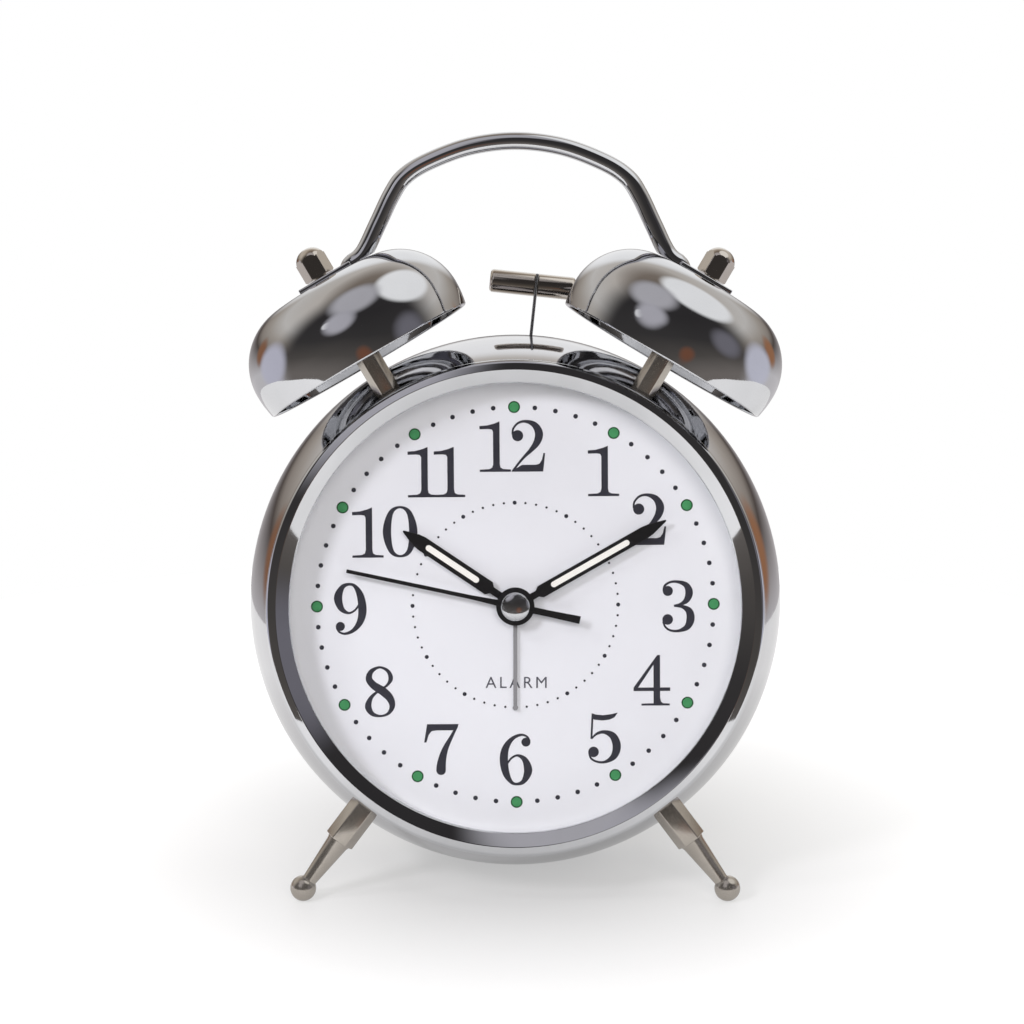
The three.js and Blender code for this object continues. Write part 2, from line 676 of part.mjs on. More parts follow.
function hammerHead() {
  const half = HAMMER_LENGTH / 2;
  const head = turnedUp(
    [
      [0, -half],
      [HAMMER_R - 0.7, -half],
      [HAMMER_R, -half + 0.7],
      [HAMMER_R, half - 0.7],
      [HAMMER_R - 0.7, half],
      [0, half],
    ],
    20,
  );
  const centre = HAMMER_DEPTH + 2.15;
  head.rotateY(Math.PI / 2).translate(-0.85, centre, HAMMER_REACH);
  const groove = box(-0.55, 0.55, centre - 4, centre - 1.6, HAMMER_REACH - 5, HAMMER_REACH + 5);
  return cut(head, groove);
}

// ---- power ----
function batteryTray() {
  const outer = box(-28.6, 28.6, 22.5, 39.6, -39.6, -22.4);
  const hollow = box(-27.4, 27.4, 23.7, 45, -38.4, -23.6);
  return cut(outer, hollow);
}

function batteryCell() {
  const { r, length, depth, z } = CELL;
  const half = length / 2;
  const can = turnedUp(
    [[0, -half], [r - 0.5, -half], [r, -half + 0.5], [r, half - 0.5], [r - 0.5, half], [2.7, half], [2.7, half + 1], [0, half + 1]],
    24,
  );
  return can.rotateY(Math.PI / 2).translate(0, depth, z);
}

function springContact() {
  const turns = 3;
  const points = [];
  for (let i = 0; i <= turns * 10; i += 1) {
    const share = i / (turns * 10);
    const angle = share * turns * 2 * Math.PI;
    const r = 4.5 - 2.2 * share;
    points.push(new THREE.Vector3(-26.6 + 1.6 * share, r * Math.cos(angle), r * Math.sin(angle)));
  }
  const section = outline([[0.2, 0], [0.1, 0.17], [-0.1, 0.17], [-0.2, 0], [-0.1, -0.17], [0.1, -0.17]]);
  const path = new THREE.CatmullRomCurve3(points);
  const options = { extrudePath: path, steps: turns * 12, bevelEnabled: false };
  const coil = new THREE.ExtrudeGeometry(section, options);
  const foot = box(-27.1, -26.5, -5, 5, -5, 5);
  return join(coil, foot).translate(0, CELL.depth, CELL.z);
}

const plusContact = () =>
  box(26, 26.6, -4.5, 4.5, -5, 5).translate(0, CELL.depth, CELL.z);

function alarmSwitch() {
  const inner = box(-7.4, 2.2, 38, COVER_DEPTH - GAP, 10.6, 17.4);
  const thumb = box(-5.1, -0.1, 39, 45.4, 12.4, 15.6);
  const ridges = [0, 1, 2].map((i) => box(-4.6 + 1.6 * i, -3.8 + 1.6 * i, 45.2, 45.9, 12.4, 15.6));
  return join(inner, thumb, ...ridges);
}

// ---- assembly ----
const clock = new THREE.Group();
const add = (name, geometry, material) => {
  const mesh = named(name, geometry, material);
  clock.add(mesh);
  return mesh;
};

add("case_barrel", caseBarrel(), chrome);
add("bezel_ring", bezelRing(), chrome);
add("crystal_lens", disc(DIAL_R, 4.3, 5.3, LARGE), glass);
add("dial_spacer", ring(50.4, DIAL_R, 5.6, 9.7, LARGE), whitePlastic);
add("dial_plate", ring(3.4, DIAL_R, DIAL_DEPTH, DIAL_DEPTH + DIAL_THICK, LARGE), dialWhite);
add("mounting_ring", ring(46, 55.6, 10.8, 12.8, LARGE), blackPlastic);
add("rear_cover", rearCover(), blackPlastic);
COVER_SCREWS.forEach((at, i) => add(`cover_screw_${i + 1}`, coverScrew(at), steel));
add("battery_door", batteryDoor(), blackPlastic);

const top = new THREE.Group();
top.position.y = TOP_DEPTH;
top.rotation.x = -BELL_TILT * RAD;
clock.add(top);
for (const [side, sign] of [["left", -1], ["right", 1]]) {
  const arm = new THREE.Group();
  arm.rotation.y = sign * BELL_ANGLE * RAD;
  arm.add(named(`${side}_bell`, bell(), chrome));
  arm.add(named(`${side}_post`, post(sign * BELL_ANGLE), nickel));
  arm.add(named(`${side}_nut`, domedNut(), nickel));
  top.add(arm);
  const legAngle = 180 - sign * LEG_ANGLE;
  const stand = named(`${side}_leg`, leg(legAngle), nickel);
  stand.position.y = LEG_DEPTH;
  stand.rotation.y = legAngle * RAD;
  clock.add(stand);
}
top.add(named("carry_handle", carryHandle(), chrome));

const hammer = new THREE.Group();
hammer.position.z = HAMMER_PIVOT_Z;
hammer.rotation.y = HAMMER_REST * RAD;
hammer.add(named("hammer_head", hammerHead(), nickel));
hammer.add(named("hammer_wire", hammerWire(), steel));
hammer.add(named("hammer_lever", hammerLever(), brass));
clock.add(hammer);
add("striker_bracket", strikerBracket(), steel);
add("striker_motor", strikerMotor(), steel);
add("striker_pinion", strikerPinion(), brass);
add("striker_gear", strikerGear(), whitePlastic);

function addHand(name, geometry, material, angle) {
  add(name, geometry, material).rotation.y = angle * RAD;
}
const hourRear = HAND_FRONTS.hour + HAND_THICK;
const minuteRear = HAND_FRONTS.minute + HAND_THICK;
addHand("hour_hand", slottedHand(HOUR, HAND_FRONTS.hour, hourRear, 4, 2.4), handBlack, HOUR_ANGLE);
addHand("hour_hand_inlay", inlay(HOUR, HAND_FRONTS.hour, hourRear), inlayWhite, HOUR_ANGLE);
addHand("minute_hand", slottedHand(MINUTE, HAND_FRONTS.minute, minuteRear, 3.9, 1.6), handBlack, MINUTE_ANGLE);
addHand("minute_hand_inlay", inlay(MINUTE, HAND_FRONTS.minute, minuteRear), inlayWhite, MINUTE_ANGLE);
addHand("second_hand", secondHand(), handBlack, SECOND_ANGLE);
addHand("alarm_hand", alarmHand(), handGrey, ALARM_ANGLE);
add("centre_cap", centreCap(), chrome);

add("movement_front", movementFront(), blackPlastic);
add("movement_rear", movementRear(), blackPlastic);
add("alarm_wheel", alarmWheel(), whitePlastic);
add("hour_wheel", hourWheel(), whitePlastic);
add("motion_wheel", motionWheel(), whitePlastic);
add("centre_wheel", centreWheel(), whitePlastic);
add("third_wheel", thirdWheel(), whitePlastic);
add("second_wheel", secondWheel(), whitePlastic);
add("fifth_wheel", fifthWheel(), whitePlastic);
add("rotor", rotorPiece(), steel);
add("stator", statorPiece(), steel);
add("drive_coil", driveCoil(), copper);
add("circuit_board", circuitBoard(), circuitGreen);
add("crystal_can", box(-22, -16, 16.4, 18.1, 12, 14), steel);
add("time_knob", knob(TIME_KNOB, { front: LAYER.motion, teeth: 8, r: 2.9 }, 6.5, 18), blackPlastic);
add("alarm_knob", knob(ALARM_KNOB, { front: LAYER.alarm, teeth: 12, r: 4.9 }, 5.5, 16), blackPlastic);
add("alarm_switch", alarmSwitch(), blackPlastic);

add("battery_tray", batteryTray(), blackPlastic);
add("battery_cell", batteryCell(), cellLabel);
add("positive_contact", plusContact(), steel);
add("negative_contact", springContact(), steel);

// Lean the clock back and stand it on Z = 0, centred on its own outline.
clock.rotation.x = -LEAN;
const object = new THREE.Group();
object.add(clock);
object.updateMatrixWorld(true);
const bounds = new THREE.Box3().setFromObject(object, true);
clock.position.set(
  -(bounds.min.x + bounds.max.x) / 2,
  -(bounds.min.y + bounds.max.y) / 2,
  -bounds.min.z,
);

export default object;
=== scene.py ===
import json
import math

import bpy
from mathutils import Matrix, Vector

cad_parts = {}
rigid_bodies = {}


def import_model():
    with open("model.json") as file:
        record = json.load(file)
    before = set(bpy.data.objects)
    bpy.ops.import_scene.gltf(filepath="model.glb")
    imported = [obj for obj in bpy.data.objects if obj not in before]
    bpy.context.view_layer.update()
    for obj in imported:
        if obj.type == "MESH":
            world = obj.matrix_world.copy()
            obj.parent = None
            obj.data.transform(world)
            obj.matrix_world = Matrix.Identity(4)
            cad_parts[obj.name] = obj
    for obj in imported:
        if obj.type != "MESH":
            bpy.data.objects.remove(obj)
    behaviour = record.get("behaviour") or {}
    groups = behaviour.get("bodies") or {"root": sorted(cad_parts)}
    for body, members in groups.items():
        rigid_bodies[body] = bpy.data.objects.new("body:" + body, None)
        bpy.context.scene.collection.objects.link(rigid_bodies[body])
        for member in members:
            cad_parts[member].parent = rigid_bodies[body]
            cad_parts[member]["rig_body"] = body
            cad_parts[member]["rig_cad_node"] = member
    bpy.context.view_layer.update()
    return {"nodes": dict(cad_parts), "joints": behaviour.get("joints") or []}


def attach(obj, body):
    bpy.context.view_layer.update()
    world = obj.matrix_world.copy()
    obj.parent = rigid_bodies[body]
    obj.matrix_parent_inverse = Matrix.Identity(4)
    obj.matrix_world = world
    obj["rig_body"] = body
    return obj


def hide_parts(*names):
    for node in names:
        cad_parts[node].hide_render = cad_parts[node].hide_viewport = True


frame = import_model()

mm = 0.001

# The hands' own joint gives the clock's axis, so every turned piece shares one frame.
handJoint = next(j for j in frame["joints"] if j["name"] == "minute_hand_spin")
axisBack = Vector(handJoint["axis"])
axisUp = Vector((1, 0, 0)).cross(axisBack)
lipCentre = Vector(handJoint["pos_m"]) - axisBack * 15 * mm
clockFrame = Matrix((
    (1, axisBack.x, axisUp.x, lipCentre.x),
    (0, axisBack.y, axisUp.y, lipCentre.y),
    (0, axisBack.z, axisUp.z, lipCentre.z),
    (0, 0, 0, 1),
))


def turnX(degrees):
    return Matrix.Rotation(math.radians(degrees), 4, "X")


def turnY(degrees):
    return Matrix.Rotation(math.radians(degrees), 4, "Y")


def shift(x, y, z):
    return Matrix.Translation((x * mm, y * mm, z * mm))


# Both bells, their posts and the handle lean back 3 degrees together.
bellPlan = {"angle": 30.5, "lean": 3, "depth": 3.865, "rimAt": 62.5, "height": 19.6}
topFrame = clockFrame @ shift(0, bellPlan["depth"], 0) @ turnX(-bellPlan["lean"])
alongAxis = turnX(-90)  # a shape turned about Z lies along the clock's axis
onDial = turnX(90)  # a flat shape drawn on X and Y faces the front


def fromHex(text):
    channels = [int(text[i:i + 2], 16) / 255 for i in (1, 3, 5)]
    linear = [c / 12.92 if c <= 0.04045 else ((c + 0.055) / 1.055) ** 2.4 for c in channels]
    return (*linear, 1)


def addNode(tree, kind, settings, links=None):
    node = tree.nodes.new(kind)
    for key, value in settings.items():
        if isinstance(key, int) or key[0].isupper():
            node.inputs[key].default_value = value
        else:
            setattr(node, key, value)
    for key, source in (links or {}).items():
        tree.links.new(source, node.inputs[key])
    return node


def newMaterial(name, settings):
    material = bpy.data.materials.new(name)
    material.use_nodes = True
    tree = material.node_tree
    shader = tree.nodes["Principled BSDF"]
    for key, value in settings.items():
        shader.inputs[key].default_value = value
    return material, tree, shader


def coordinates(tree, around=clockFrame, stretch=(1, 1, 1)):
    place = around.inverted()
    source = addNode(tree, "ShaderNodeTexCoord", {})
    turned = addNode(tree, "ShaderNodeMapping", {
        "Location": place.to_translation(), "Rotation": place.to_euler(),
    }, {"Vector": source.outputs["Object"]})
    return addNode(tree, "ShaderNodeMapping", {"Scale": stretch}, {
        "Vector": turned.outputs["Vector"],
    }).outputs["Vector"]


def speckled(look):
    # Two noises at real sizes: a slow one varies tone and gloss, a fine one is the surface's grain.
    settings = {"Metallic": look.get("metallic", 0)}
    if "ior" in look:
        settings["IOR"] = look["ior"]
    if "coat" in look:
        settings["Coat Weight"] = look["coat"]
        settings["Coat Roughness"] = 0.06
    material, tree, shader = newMaterial(look["name"], settings)
    place = coordinates(tree, look.get("around", clockFrame), look.get("stretch", (1, 1, 1)))
    patches = addNode(tree, "ShaderNodeTexNoise", {
        "Scale": 1 / (look["patchMm"] * mm), "Detail": 3, "Roughness": 0.55,
    }, {"Vector": place})
    grain = addNode(tree, "ShaderNodeTexNoise", {
        "Scale": 1 / (look["grainMm"] * mm), "Detail": 4, "Roughness": 0.6,
    }, {"Vector": place})
    tone = addNode(tree, "ShaderNodeMix", {
        "data_type": "RGBA", 6: fromHex(look["dark"]), 7: fromHex(look["light"]),
    }, {0: patches.outputs["Fac"]})
    gloss = addNode(tree, "ShaderNodeMapRange", {
        "From Min": 0.3, "From Max": 0.7,
        "To Min": look["roughness"][0], "To Max": look["roughness"][1],
    }, {"Value": grain.outputs["Fac"]})
    bump = addNode(tree, "ShaderNodeBump", {
        "Strength": look.get("strength", 0.3), "Distance": look["bumpMm"] * mm,
    }, {"Height": grain.outputs["Fac"]})
    tree.links.new(tone.outputs[2], shader.inputs["Base Color"])
    tree.links.new(gloss.outputs["Result"], shader.inputs["Roughness"])
    tree.links.new(bump.outputs["Normal"], shader.inputs["Normal"])
    return material


chromePlate = speckled({  # bright plate over polished steel, with the faint waviness of pressed sheet
    "name": "brightChromePlate", "metallic": 1, "dark": "#cbccce", "light": "#dedfe2",
    "patchMm": 14, "grainMm": 5, "roughness": (0.03, 0.06), "bumpMm": 0.02, "strength": 0.05,
})
drumChrome = speckled({  # the drum is buffed round and round, so its gloss runs in fine hoops
    "name": "buffedChromeDrum", "metallic": 1, "dark": "#cacacc", "light": "#dddde0",
    "patchMm": 20, "grainMm": 3, "roughness": (0.05, 0.1), "bumpMm": 0.02, "strength": 0.06,
    "stretch": (0.2, 3, 0.2),
})
nickelPlate = speckled({  # satin nickel is warmer and softer than chrome
    "name": "satinNickelPlate", "metallic": 0.9, "dark": "#aba49b", "light": "#c6c0b7",
    "patchMm": 6, "grainMm": 0.7, "roughness": (0.16, 0.24), "bumpMm": 0.01, "strength": 0.12,
})
brightNickel = speckled({  # polished nickel on the hammer and the nuts
    "name": "brightNickelPlate", "metallic": 1, "dark": "#c4bcb2", "light": "#d8d1c8",
    "patchMm": 6, "grainMm": 2, "roughness": (0.07, 0.13), "bumpMm": 0.01, "strength": 0.06,
})
zincSteel = speckled({  # zinc-plated steel: pale grey with cloudy crystals
    "name": "zincPlatedSteel", "metallic": 1, "dark": "#8f9193", "light": "#b4b6b8",
    "patchMm": 2.5, "grainMm": 0.5, "roughness": (0.28, 0.42), "bumpMm": 0.02, "strength": 0.2,
})
turnedBrass = speckled({  # brass off the lathe, slightly dulled
    "name": "turnedBrass", "metallic": 1, "dark": "#b08a3c", "light": "#cfae62",
    "patchMm": 3, "grainMm": 0.4, "roughness": (0.25, 0.38), "bumpMm": 0.01, "strength": 0.2,
})
dialEnamel = speckled({  # matt white lacquer on thin sheet, a little blue
    "name": "mattDialLacquer", "dark": "#dfe1e8", "light": "#e7e9ef", "ior": 1.5,
    "patchMm": 26, "grainMm": 0.5, "roughness": (0.46, 0.56), "bumpMm": 0.01, "strength": 0.08,
})
handPaint = speckled({  # black baked paint on the pressed hands, half gloss
    "name": "blackHandPaint", "dark": "#0b0b0d", "light": "#141417", "ior": 1.5,
    "patchMm": 5, "grainMm": 0.4, "roughness": (0.3, 0.42), "bumpMm": 0.01, "strength": 0.15,
})
inlayPaint = speckled({  # thick white fill in the hands' slots, faintly grainy
    "name": "whiteInlayFill", "dark": "#e9e8e3", "light": "#f6f5f1", "ior": 1.5,
    "patchMm": 3, "grainMm": 0.3, "roughness": (0.55, 0.7), "bumpMm": 0.02, "strength": 0.3,
})
alarmHandPaint = speckled({  # grey lacquer of the alarm hand
    "name": "greyHandLacquer", "dark": "#7e7e82", "light": "#8f8f93", "ior": 1.5,
    "patchMm": 4, "grainMm": 0.4, "roughness": (0.35, 0.5), "bumpMm": 0.01, "strength": 0.15,
})
printInk = speckled({  # pad-printed ink, dark blue-grey, a touch uneven in density
    "name": "padPrintInk", "dark": "#24242d", "light": "#34343e", "ior": 1.5,
    "patchMm": 6, "grainMm": 0.35, "roughness": (0.4, 0.55), "bumpMm": 0.005, "strength": 0.2,
})
greyInk = speckled({  # the same ink printed thin, so it dries grey
    "name": "greyPadPrint", "dark": "#45454f", "light": "#5a5a64", "ior": 1.5,
    "patchMm": 3, "grainMm": 0.3, "roughness": (0.4, 0.55), "bumpMm": 0.005, "strength": 0.2,
})
glowPaint = speckled({  # grainy green glow paint in the hour dots
    "name": "greenGlowPaint", "dark": "#2f7a48", "light": "#4f9f68", "ior": 1.5,
    "patchMm": 0.9, "grainMm": 0.25, "roughness": (0.5, 0.7), "bumpMm": 0.03, "strength": 0.4,
})
glowEdge = speckled({  # dark green ring round each glow dot
    "name": "darkGreenInk", "dark": "#173f25", "light": "#1f5230", "ior": 1.5,
    "patchMm": 1, "grainMm": 0.3, "roughness": (0.45, 0.6), "bumpMm": 0.005, "strength": 0.2,
})
blackAbs = speckled({  # spark-eroded mould texture on black ABS, its 0.1 mm grit drawn at 0.35 mm
    "name": "texturedBlackAbs", "dark": "#131315", "light": "#1e1e21", "ior": 1.53,
    "patchMm": 9, "grainMm": 0.35, "roughness": (0.42, 0.6), "bumpMm": 0.04, "strength": 0.5,
})
whiteAcetal = speckled({  # natural acetal wheels, waxy, half gloss
    "name": "naturalAcetal", "dark": "#d6d6d0", "light": "#e6e6e1", "ior": 1.48,
    "patchMm": 4, "grainMm": 0.5, "roughness": (0.3, 0.42), "bumpMm": 0.01, "strength": 0.15,
})
motorCan = speckled({  # drawn steel can with vertical draw marks
    "name": "drawnSteelCan", "metallic": 1, "dark": "#97999b", "light": "#b7b9bb",
    "patchMm": 5, "grainMm": 0.6, "roughness": (0.2, 0.34), "bumpMm": 0.01, "strength": 0.2,
    "stretch": (1, 0.15, 1),
})


def windingWire():
    # Enamelled copper: round wires side by side. The real 0.05 mm wire is drawn at 0.3 mm so that it shows.
    material, tree, shader = newMaterial("enamelledCopperWinding", {
        "Metallic": 0.85, "Roughness": 0.3, "Coat Weight": 0.6, "Coat Roughness": 0.1,
    })
    place = coordinates(tree)
    wires = addNode(tree, "ShaderNodeTexWave", {
        "wave_type": "BANDS", "bands_direction": "X", "wave_profile": "SIN",
        "Scale": 1 / (0.3 * mm * 20), "Distortion": 0.4, "Detail": 1,
    }, {"Vector": place})
    # The copper is painted dark in the grooves between the wires and light on their crests: painted shade and
    # painted highlight.
    tone = addNode(tree, "ShaderNodeMix", {
        "data_type": "RGBA", 6: fromHex("#6b2b14"), 7: fromHex("#c9703c"),
    }, {0: wires.outputs["Fac"]})
    bump = addNode(tree, "ShaderNodeBump", {"Strength": 0.6, "Distance": 0.1 * mm}, {
        "Height": wires.outputs["Fac"],
    })
    tree.links.new(tone.outputs[2], shader.inputs["Base Color"])
    tree.links.new(bump.outputs["Normal"], shader.inputs["Normal"])
    return material


def boardMask():
    # Green solder mask over etched tracks: cells 3 mm apart stand in for the track pattern.
    material, tree, shader = newMaterial("greenSolderMask", {
        "Roughness": 0.25, "IOR": 1.5, "Coat Weight": 0.4, "Coat Roughness": 0.1,
    })
    place = coordinates(tree)
    tracks = addNode(tree, "ShaderNodeTexVoronoi", {
        "feature": "DISTANCE_TO_EDGE", "Scale": 1 / (3 * mm),
    }, {"Vector": place})
    edge = addNode(tree, "ShaderNodeMapRange", {"From Min": 0.04, "From Max": 0.09}, {
        "Value": tracks.outputs["Distance"],
    })
    tone = addNode(tree, "ShaderNodeMix", {
        "data_type": "RGBA", 6: fromHex("#3f8a4e"), 7: fromHex("#1c5a2c"),
    }, {0: edge.outputs["Result"]})
    bump = addNode(tree, "ShaderNodeBump", {
        "invert": True, "Strength": 0.3, "Distance": 0.05 * mm,
    }, {"Height": edge.outputs["Result"]})
    tree.links.new(tone.outputs[2], shader.inputs["Base Color"])
    tree.links.new(bump.outputs["Normal"], shader.inputs["Normal"])
    return material


def cellWrap():
    # Shrink-wrapped cell: a blue label with a bare metal band at the positive end, no lettering.
    material, tree, shader = newMaterial("printedCellWrap", {
        "Roughness": 0.28, "Coat Weight": 0.5, "Coat Roughness": 0.08,
    })
    place = coordinates(tree)
    parts = addNode(tree, "ShaderNodeSeparateXYZ", {}, {"Vector": place})
    band = addNode(tree, "ShaderNodeMapRange", {"From Min": 14 * mm, "From Max": 14.4 * mm}, {
        "Value": parts.outputs["X"],
    })
    grain = addNode(tree, "ShaderNodeTexNoise", {"Scale": 1 / (0.8 * mm), "Detail": 3}, {"Vector": place})
    blue = addNode(tree, "ShaderNodeMix", {
        "data_type": "RGBA", 6: fromHex("#24508f"), 7: fromHex("#2c5ea6"),
    }, {0: grain.outputs["Fac"]})
    tone = addNode(tree, "ShaderNodeMix", {"data_type": "RGBA", 7: fromHex("#b9a06a")}, {
        0: band.outputs["Result"], 6: blue.outputs[2],
    })
    tree.links.new(tone.outputs[2], shader.inputs["Base Color"])
    tree.links.new(band.outputs["Result"], shader.inputs["Metallic"])
    return material


def clearGlass():
    # Thin float glass: a mirror as strong as the glass's own reflection, clear where it reflects nothing.
    material, tree, shader = newMaterial("clearFloatGlass", {"Metallic": 1})
    shader.inputs["Base Color"].default_value = fromHex("#f7fafb")
    place = coordinates(tree)
    haze = addNode(tree, "ShaderNodeTexNoise", {"Scale": 1 / (18 * mm), "Detail": 3}, {"Vector": place})
    gloss = addNode(tree, "ShaderNodeMapRange", {"To Min": 0.01, "To Max": 0.04}, {
        "Value": haze.outputs["Fac"],
    })
    # Seen from inside, the far face would act as a full mirror at a slant, so its index is turned round.
    side = addNode(tree, "ShaderNodeNewGeometry", {})
    index = addNode(tree, "ShaderNodeMapRange", {"To Min": 1.52, "To Max": 1 / 1.52}, {
        "Value": side.outputs["Backfacing"],
    })
    glance = addNode(tree, "ShaderNodeFresnel", {}, {"IOR": index.outputs["Result"]})
    cover = addNode(tree, "ShaderNodeMapRange", {"To Max": 0.95}, {"Value": glance.outputs["Fac"]})
    tree.links.new(gloss.outputs["Result"], shader.inputs["Roughness"])
    tree.links.new(cover.outputs["Result"], shader.inputs["Alpha"])
    return material


copperWinding, solderMask, cellLabel, floatGlass = windingWire(), boardMask(), cellWrap(), clearGlass()
print("finishes ready")


def clearSelection():
    if bpy.context.object and bpy.context.object.mode != "OBJECT":
        bpy.ops.object.mode_set(mode="OBJECT")
    bpy.ops.object.select_all(action="DESELECT")


def makeActive(piece):
    clearSelection()
    bpy.context.view_layer.objects.active = piece
    piece.select_set(True)


def nameActive(name):
    piece = bpy.context.object
    piece.name = piece.data.name = name
    return piece


def arc(cx, cy, radius, start, end, steps):
    angles = [math.radians(start + (end - start) * i / steps) for i in range(steps + 1)]
    return [(cx + radius * math.cos(a), cy + radius * math.sin(a)) for a in angles]


def turnedPiece(name, profile, steps=96, closed=False):
    # One point is extruded along the profile, from radius and height, and the line is spun about Z.
    clearSelection()
    bpy.ops.mesh.primitive_plane_add(size=mm)
    piece = nameActive(name)
    bpy.ops.object.mode_set(mode="EDIT")
    bpy.ops.mesh.merge(type="CENTER")
    line = [Vector((0, -r * mm, h * mm)) for r, h in profile]
    if closed:
        line.append(line[0])
    bpy.ops.transform.translate(value=line[0])
    for before, after in zip(line, line[1:]):
        bpy.ops.mesh.extrude_vertices_move(TRANSFORM_OT_translate={"value": after - before})
    bpy.ops.mesh.select_all(action="SELECT")
    bpy.ops.mesh.spin(steps=steps, angle=2 * math.pi, center=(0, 0, 0), axis=(0, 0, 1))
    bpy.ops.mesh.select_all(action="SELECT")
    bpy.ops.mesh.remove_doubles(threshold=1e-6)
    bpy.ops.mesh.normals_make_consistent(inside=False)
    bpy.ops.object.mode_set(mode="OBJECT")
    return piece


def applyModifier(piece, kind, settings):
    makeActive(piece)
    modifier = piece.modifiers.new(kind.title(), kind)
    for key, value in settings.items():
        setattr(modifier, key, value)
    bpy.ops.object.modifier_apply(modifier=modifier.name)


def roundEdges(piece, widthMm, segments=2, angle=30):
    applyModifier(piece, "BEVEL", {
        "width": widthMm * mm, "segments": segments, "limit_method": "ANGLE",
        "angle_limit": math.radians(angle), "use_clamp_overlap": True,
    })


def cutWith(piece, tool, operation="DIFFERENCE"):
    applyModifier(piece, "BOOLEAN", {"object": tool, "operation": operation, "solver": "EXACT"})
    bpy.data.objects.remove(tool)


def block(name, lo, hi):
    clearSelection()
    size = [b - a for a, b in zip(lo, hi)]
    centre = [(a + b) / 2 for a, b in zip(lo, hi)]
    bpy.ops.mesh.primitive_cube_add(size=1, location=[c * mm for c in centre])
    piece = nameActive(name)
    piece.scale = [s * mm for s in size]
    bpy.ops.object.transform_apply(location=True, rotation=True, scale=True)
    return piece


def hexBar(name, flats, z0, z1, chamfer):
    # A hexagonal bar along Z, a flat to the front, with its edges just broken.
    clearSelection()
    bpy.ops.mesh.primitive_cylinder_add(
        vertices=6, radius=flats / math.sqrt(3) * mm, depth=(z1 - z0) * mm,
        location=(0, 0, (z0 + z1) / 2 * mm), rotation=(0, 0, math.radians(30)),
    )
    piece = nameActive(name)
    bpy.ops.object.transform_apply(location=True, rotation=True, scale=True)
    roundEdges(piece, chamfer, 3)
    return piece


def joinPieces(first, *others):
    makeActive(first)
    for other in others:
        other.select_set(True)
    bpy.ops.object.join()
    return first


def finishPiece(piece, place, body, material, nodes=(), smooth=30):
    # The place goes into the mesh, so that patterns on Object coordinates stay where they belong.
    piece.matrix_world = place @ piece.matrix_world
    makeActive(piece)
    bpy.ops.object.transform_apply(location=True, rotation=True, scale=True)
    bpy.ops.object.shade_smooth_by_angle(angle=math.radians(smooth))
    piece.data.materials.clear()
    piece.data.materials.append(material)
    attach(piece, body)
    if nodes:
        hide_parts(*nodes)
    return piece


def flatPiece(name, outlines, front, rear, edgeMm=0.03):
    # A flat curve, holes included, thickened between two depths and made a mesh.
    clearSelection()
    bpy.ops.curve.primitive_bezier_curve_add()
    piece = nameActive(name)
    curve = piece.data
    curve.splines.clear()
    curve.dimensions = "2D"
    curve.fill_mode = "BOTH"
    curve.extrude = max((rear - front) / 2 - edgeMm, 0.001) * mm
    curve.bevel_depth = edgeMm * mm
    curve.bevel_resolution = 1
    curve.offset = -edgeMm * mm
    for outline in outlines:
        spline = curve.splines.new("POLY")
        spline.points.add(len(outline) - 1)
        for point, (x, y) in zip(spline.points, outline):
            point.co = (x * mm, y * mm, 0, 1)
        spline.use_cyclic_u = True
    bpy.ops.object.convert(target="MESH")
    piece.matrix_world = shift(0, (front + rear) / 2, 0) @ onDial
    makeActive(piece)
    bpy.ops.object.transform_apply(location=True, rotation=True, scale=True)
    return piece


def roundedCopy(node, name, widthMm, body, material):
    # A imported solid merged, freed of its flat seams and given small moulded or turned edges.
    makeActive(frame["nodes"][node])
    bpy.ops.object.duplicate()
    piece = nameActive(name)
    piece.parent = None
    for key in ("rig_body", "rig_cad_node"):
        del piece[key]
    bpy.ops.object.mode_set(mode="EDIT")
    bpy.ops.mesh.select_all(action="SELECT")
    bpy.ops.mesh.remove_doubles(threshold=2e-6)
    bpy.ops.mesh.dissolve_limited(angle_limit=math.radians(0.5))
    bpy.ops.object.mode_set(mode="OBJECT")
    roundEdges(piece, widthMm, 2, 35)
    return finishPiece(piece, Matrix.Identity(4), body, material, [node])


# Lengths are in millimetres and depths are behind the case's front edge.
drum = {
    "widest": 59, "widestDepth": 22, "mouth": 54.3, "mouthDepth": 3.3, "rear": 58.4, "depth": 44,
    "sheet": 0.8, "flange": 55.2, "steps": 174, "slotDepths": (22.4, 26.2), "slotHalf": 8.5,
    "rings": [3.3, 4, 5, 6, 7.5, 9, 11, 13, 15, 17, 19, 21, 22.4, 26.2, 29, 32, 35, 38, 40.5, 42],
}


def drumRadius(depth):
    if depth > drum["widestDepth"]:
        share = (depth - drum["widestDepth"]) / (drum["depth"] - drum["widestDepth"])
        return drum["widest"] - (drum["widest"] - drum["rear"]) * share * share
    rise = drum["widest"] - drum["mouth"]
    run = drum["widestDepth"] - drum["mouthDepth"]
    bend = (run * run + rise * rise) / (2 * rise)
    return drum["widest"] - bend + math.sqrt(bend * bend - (drum["widestDepth"] - depth) ** 2)


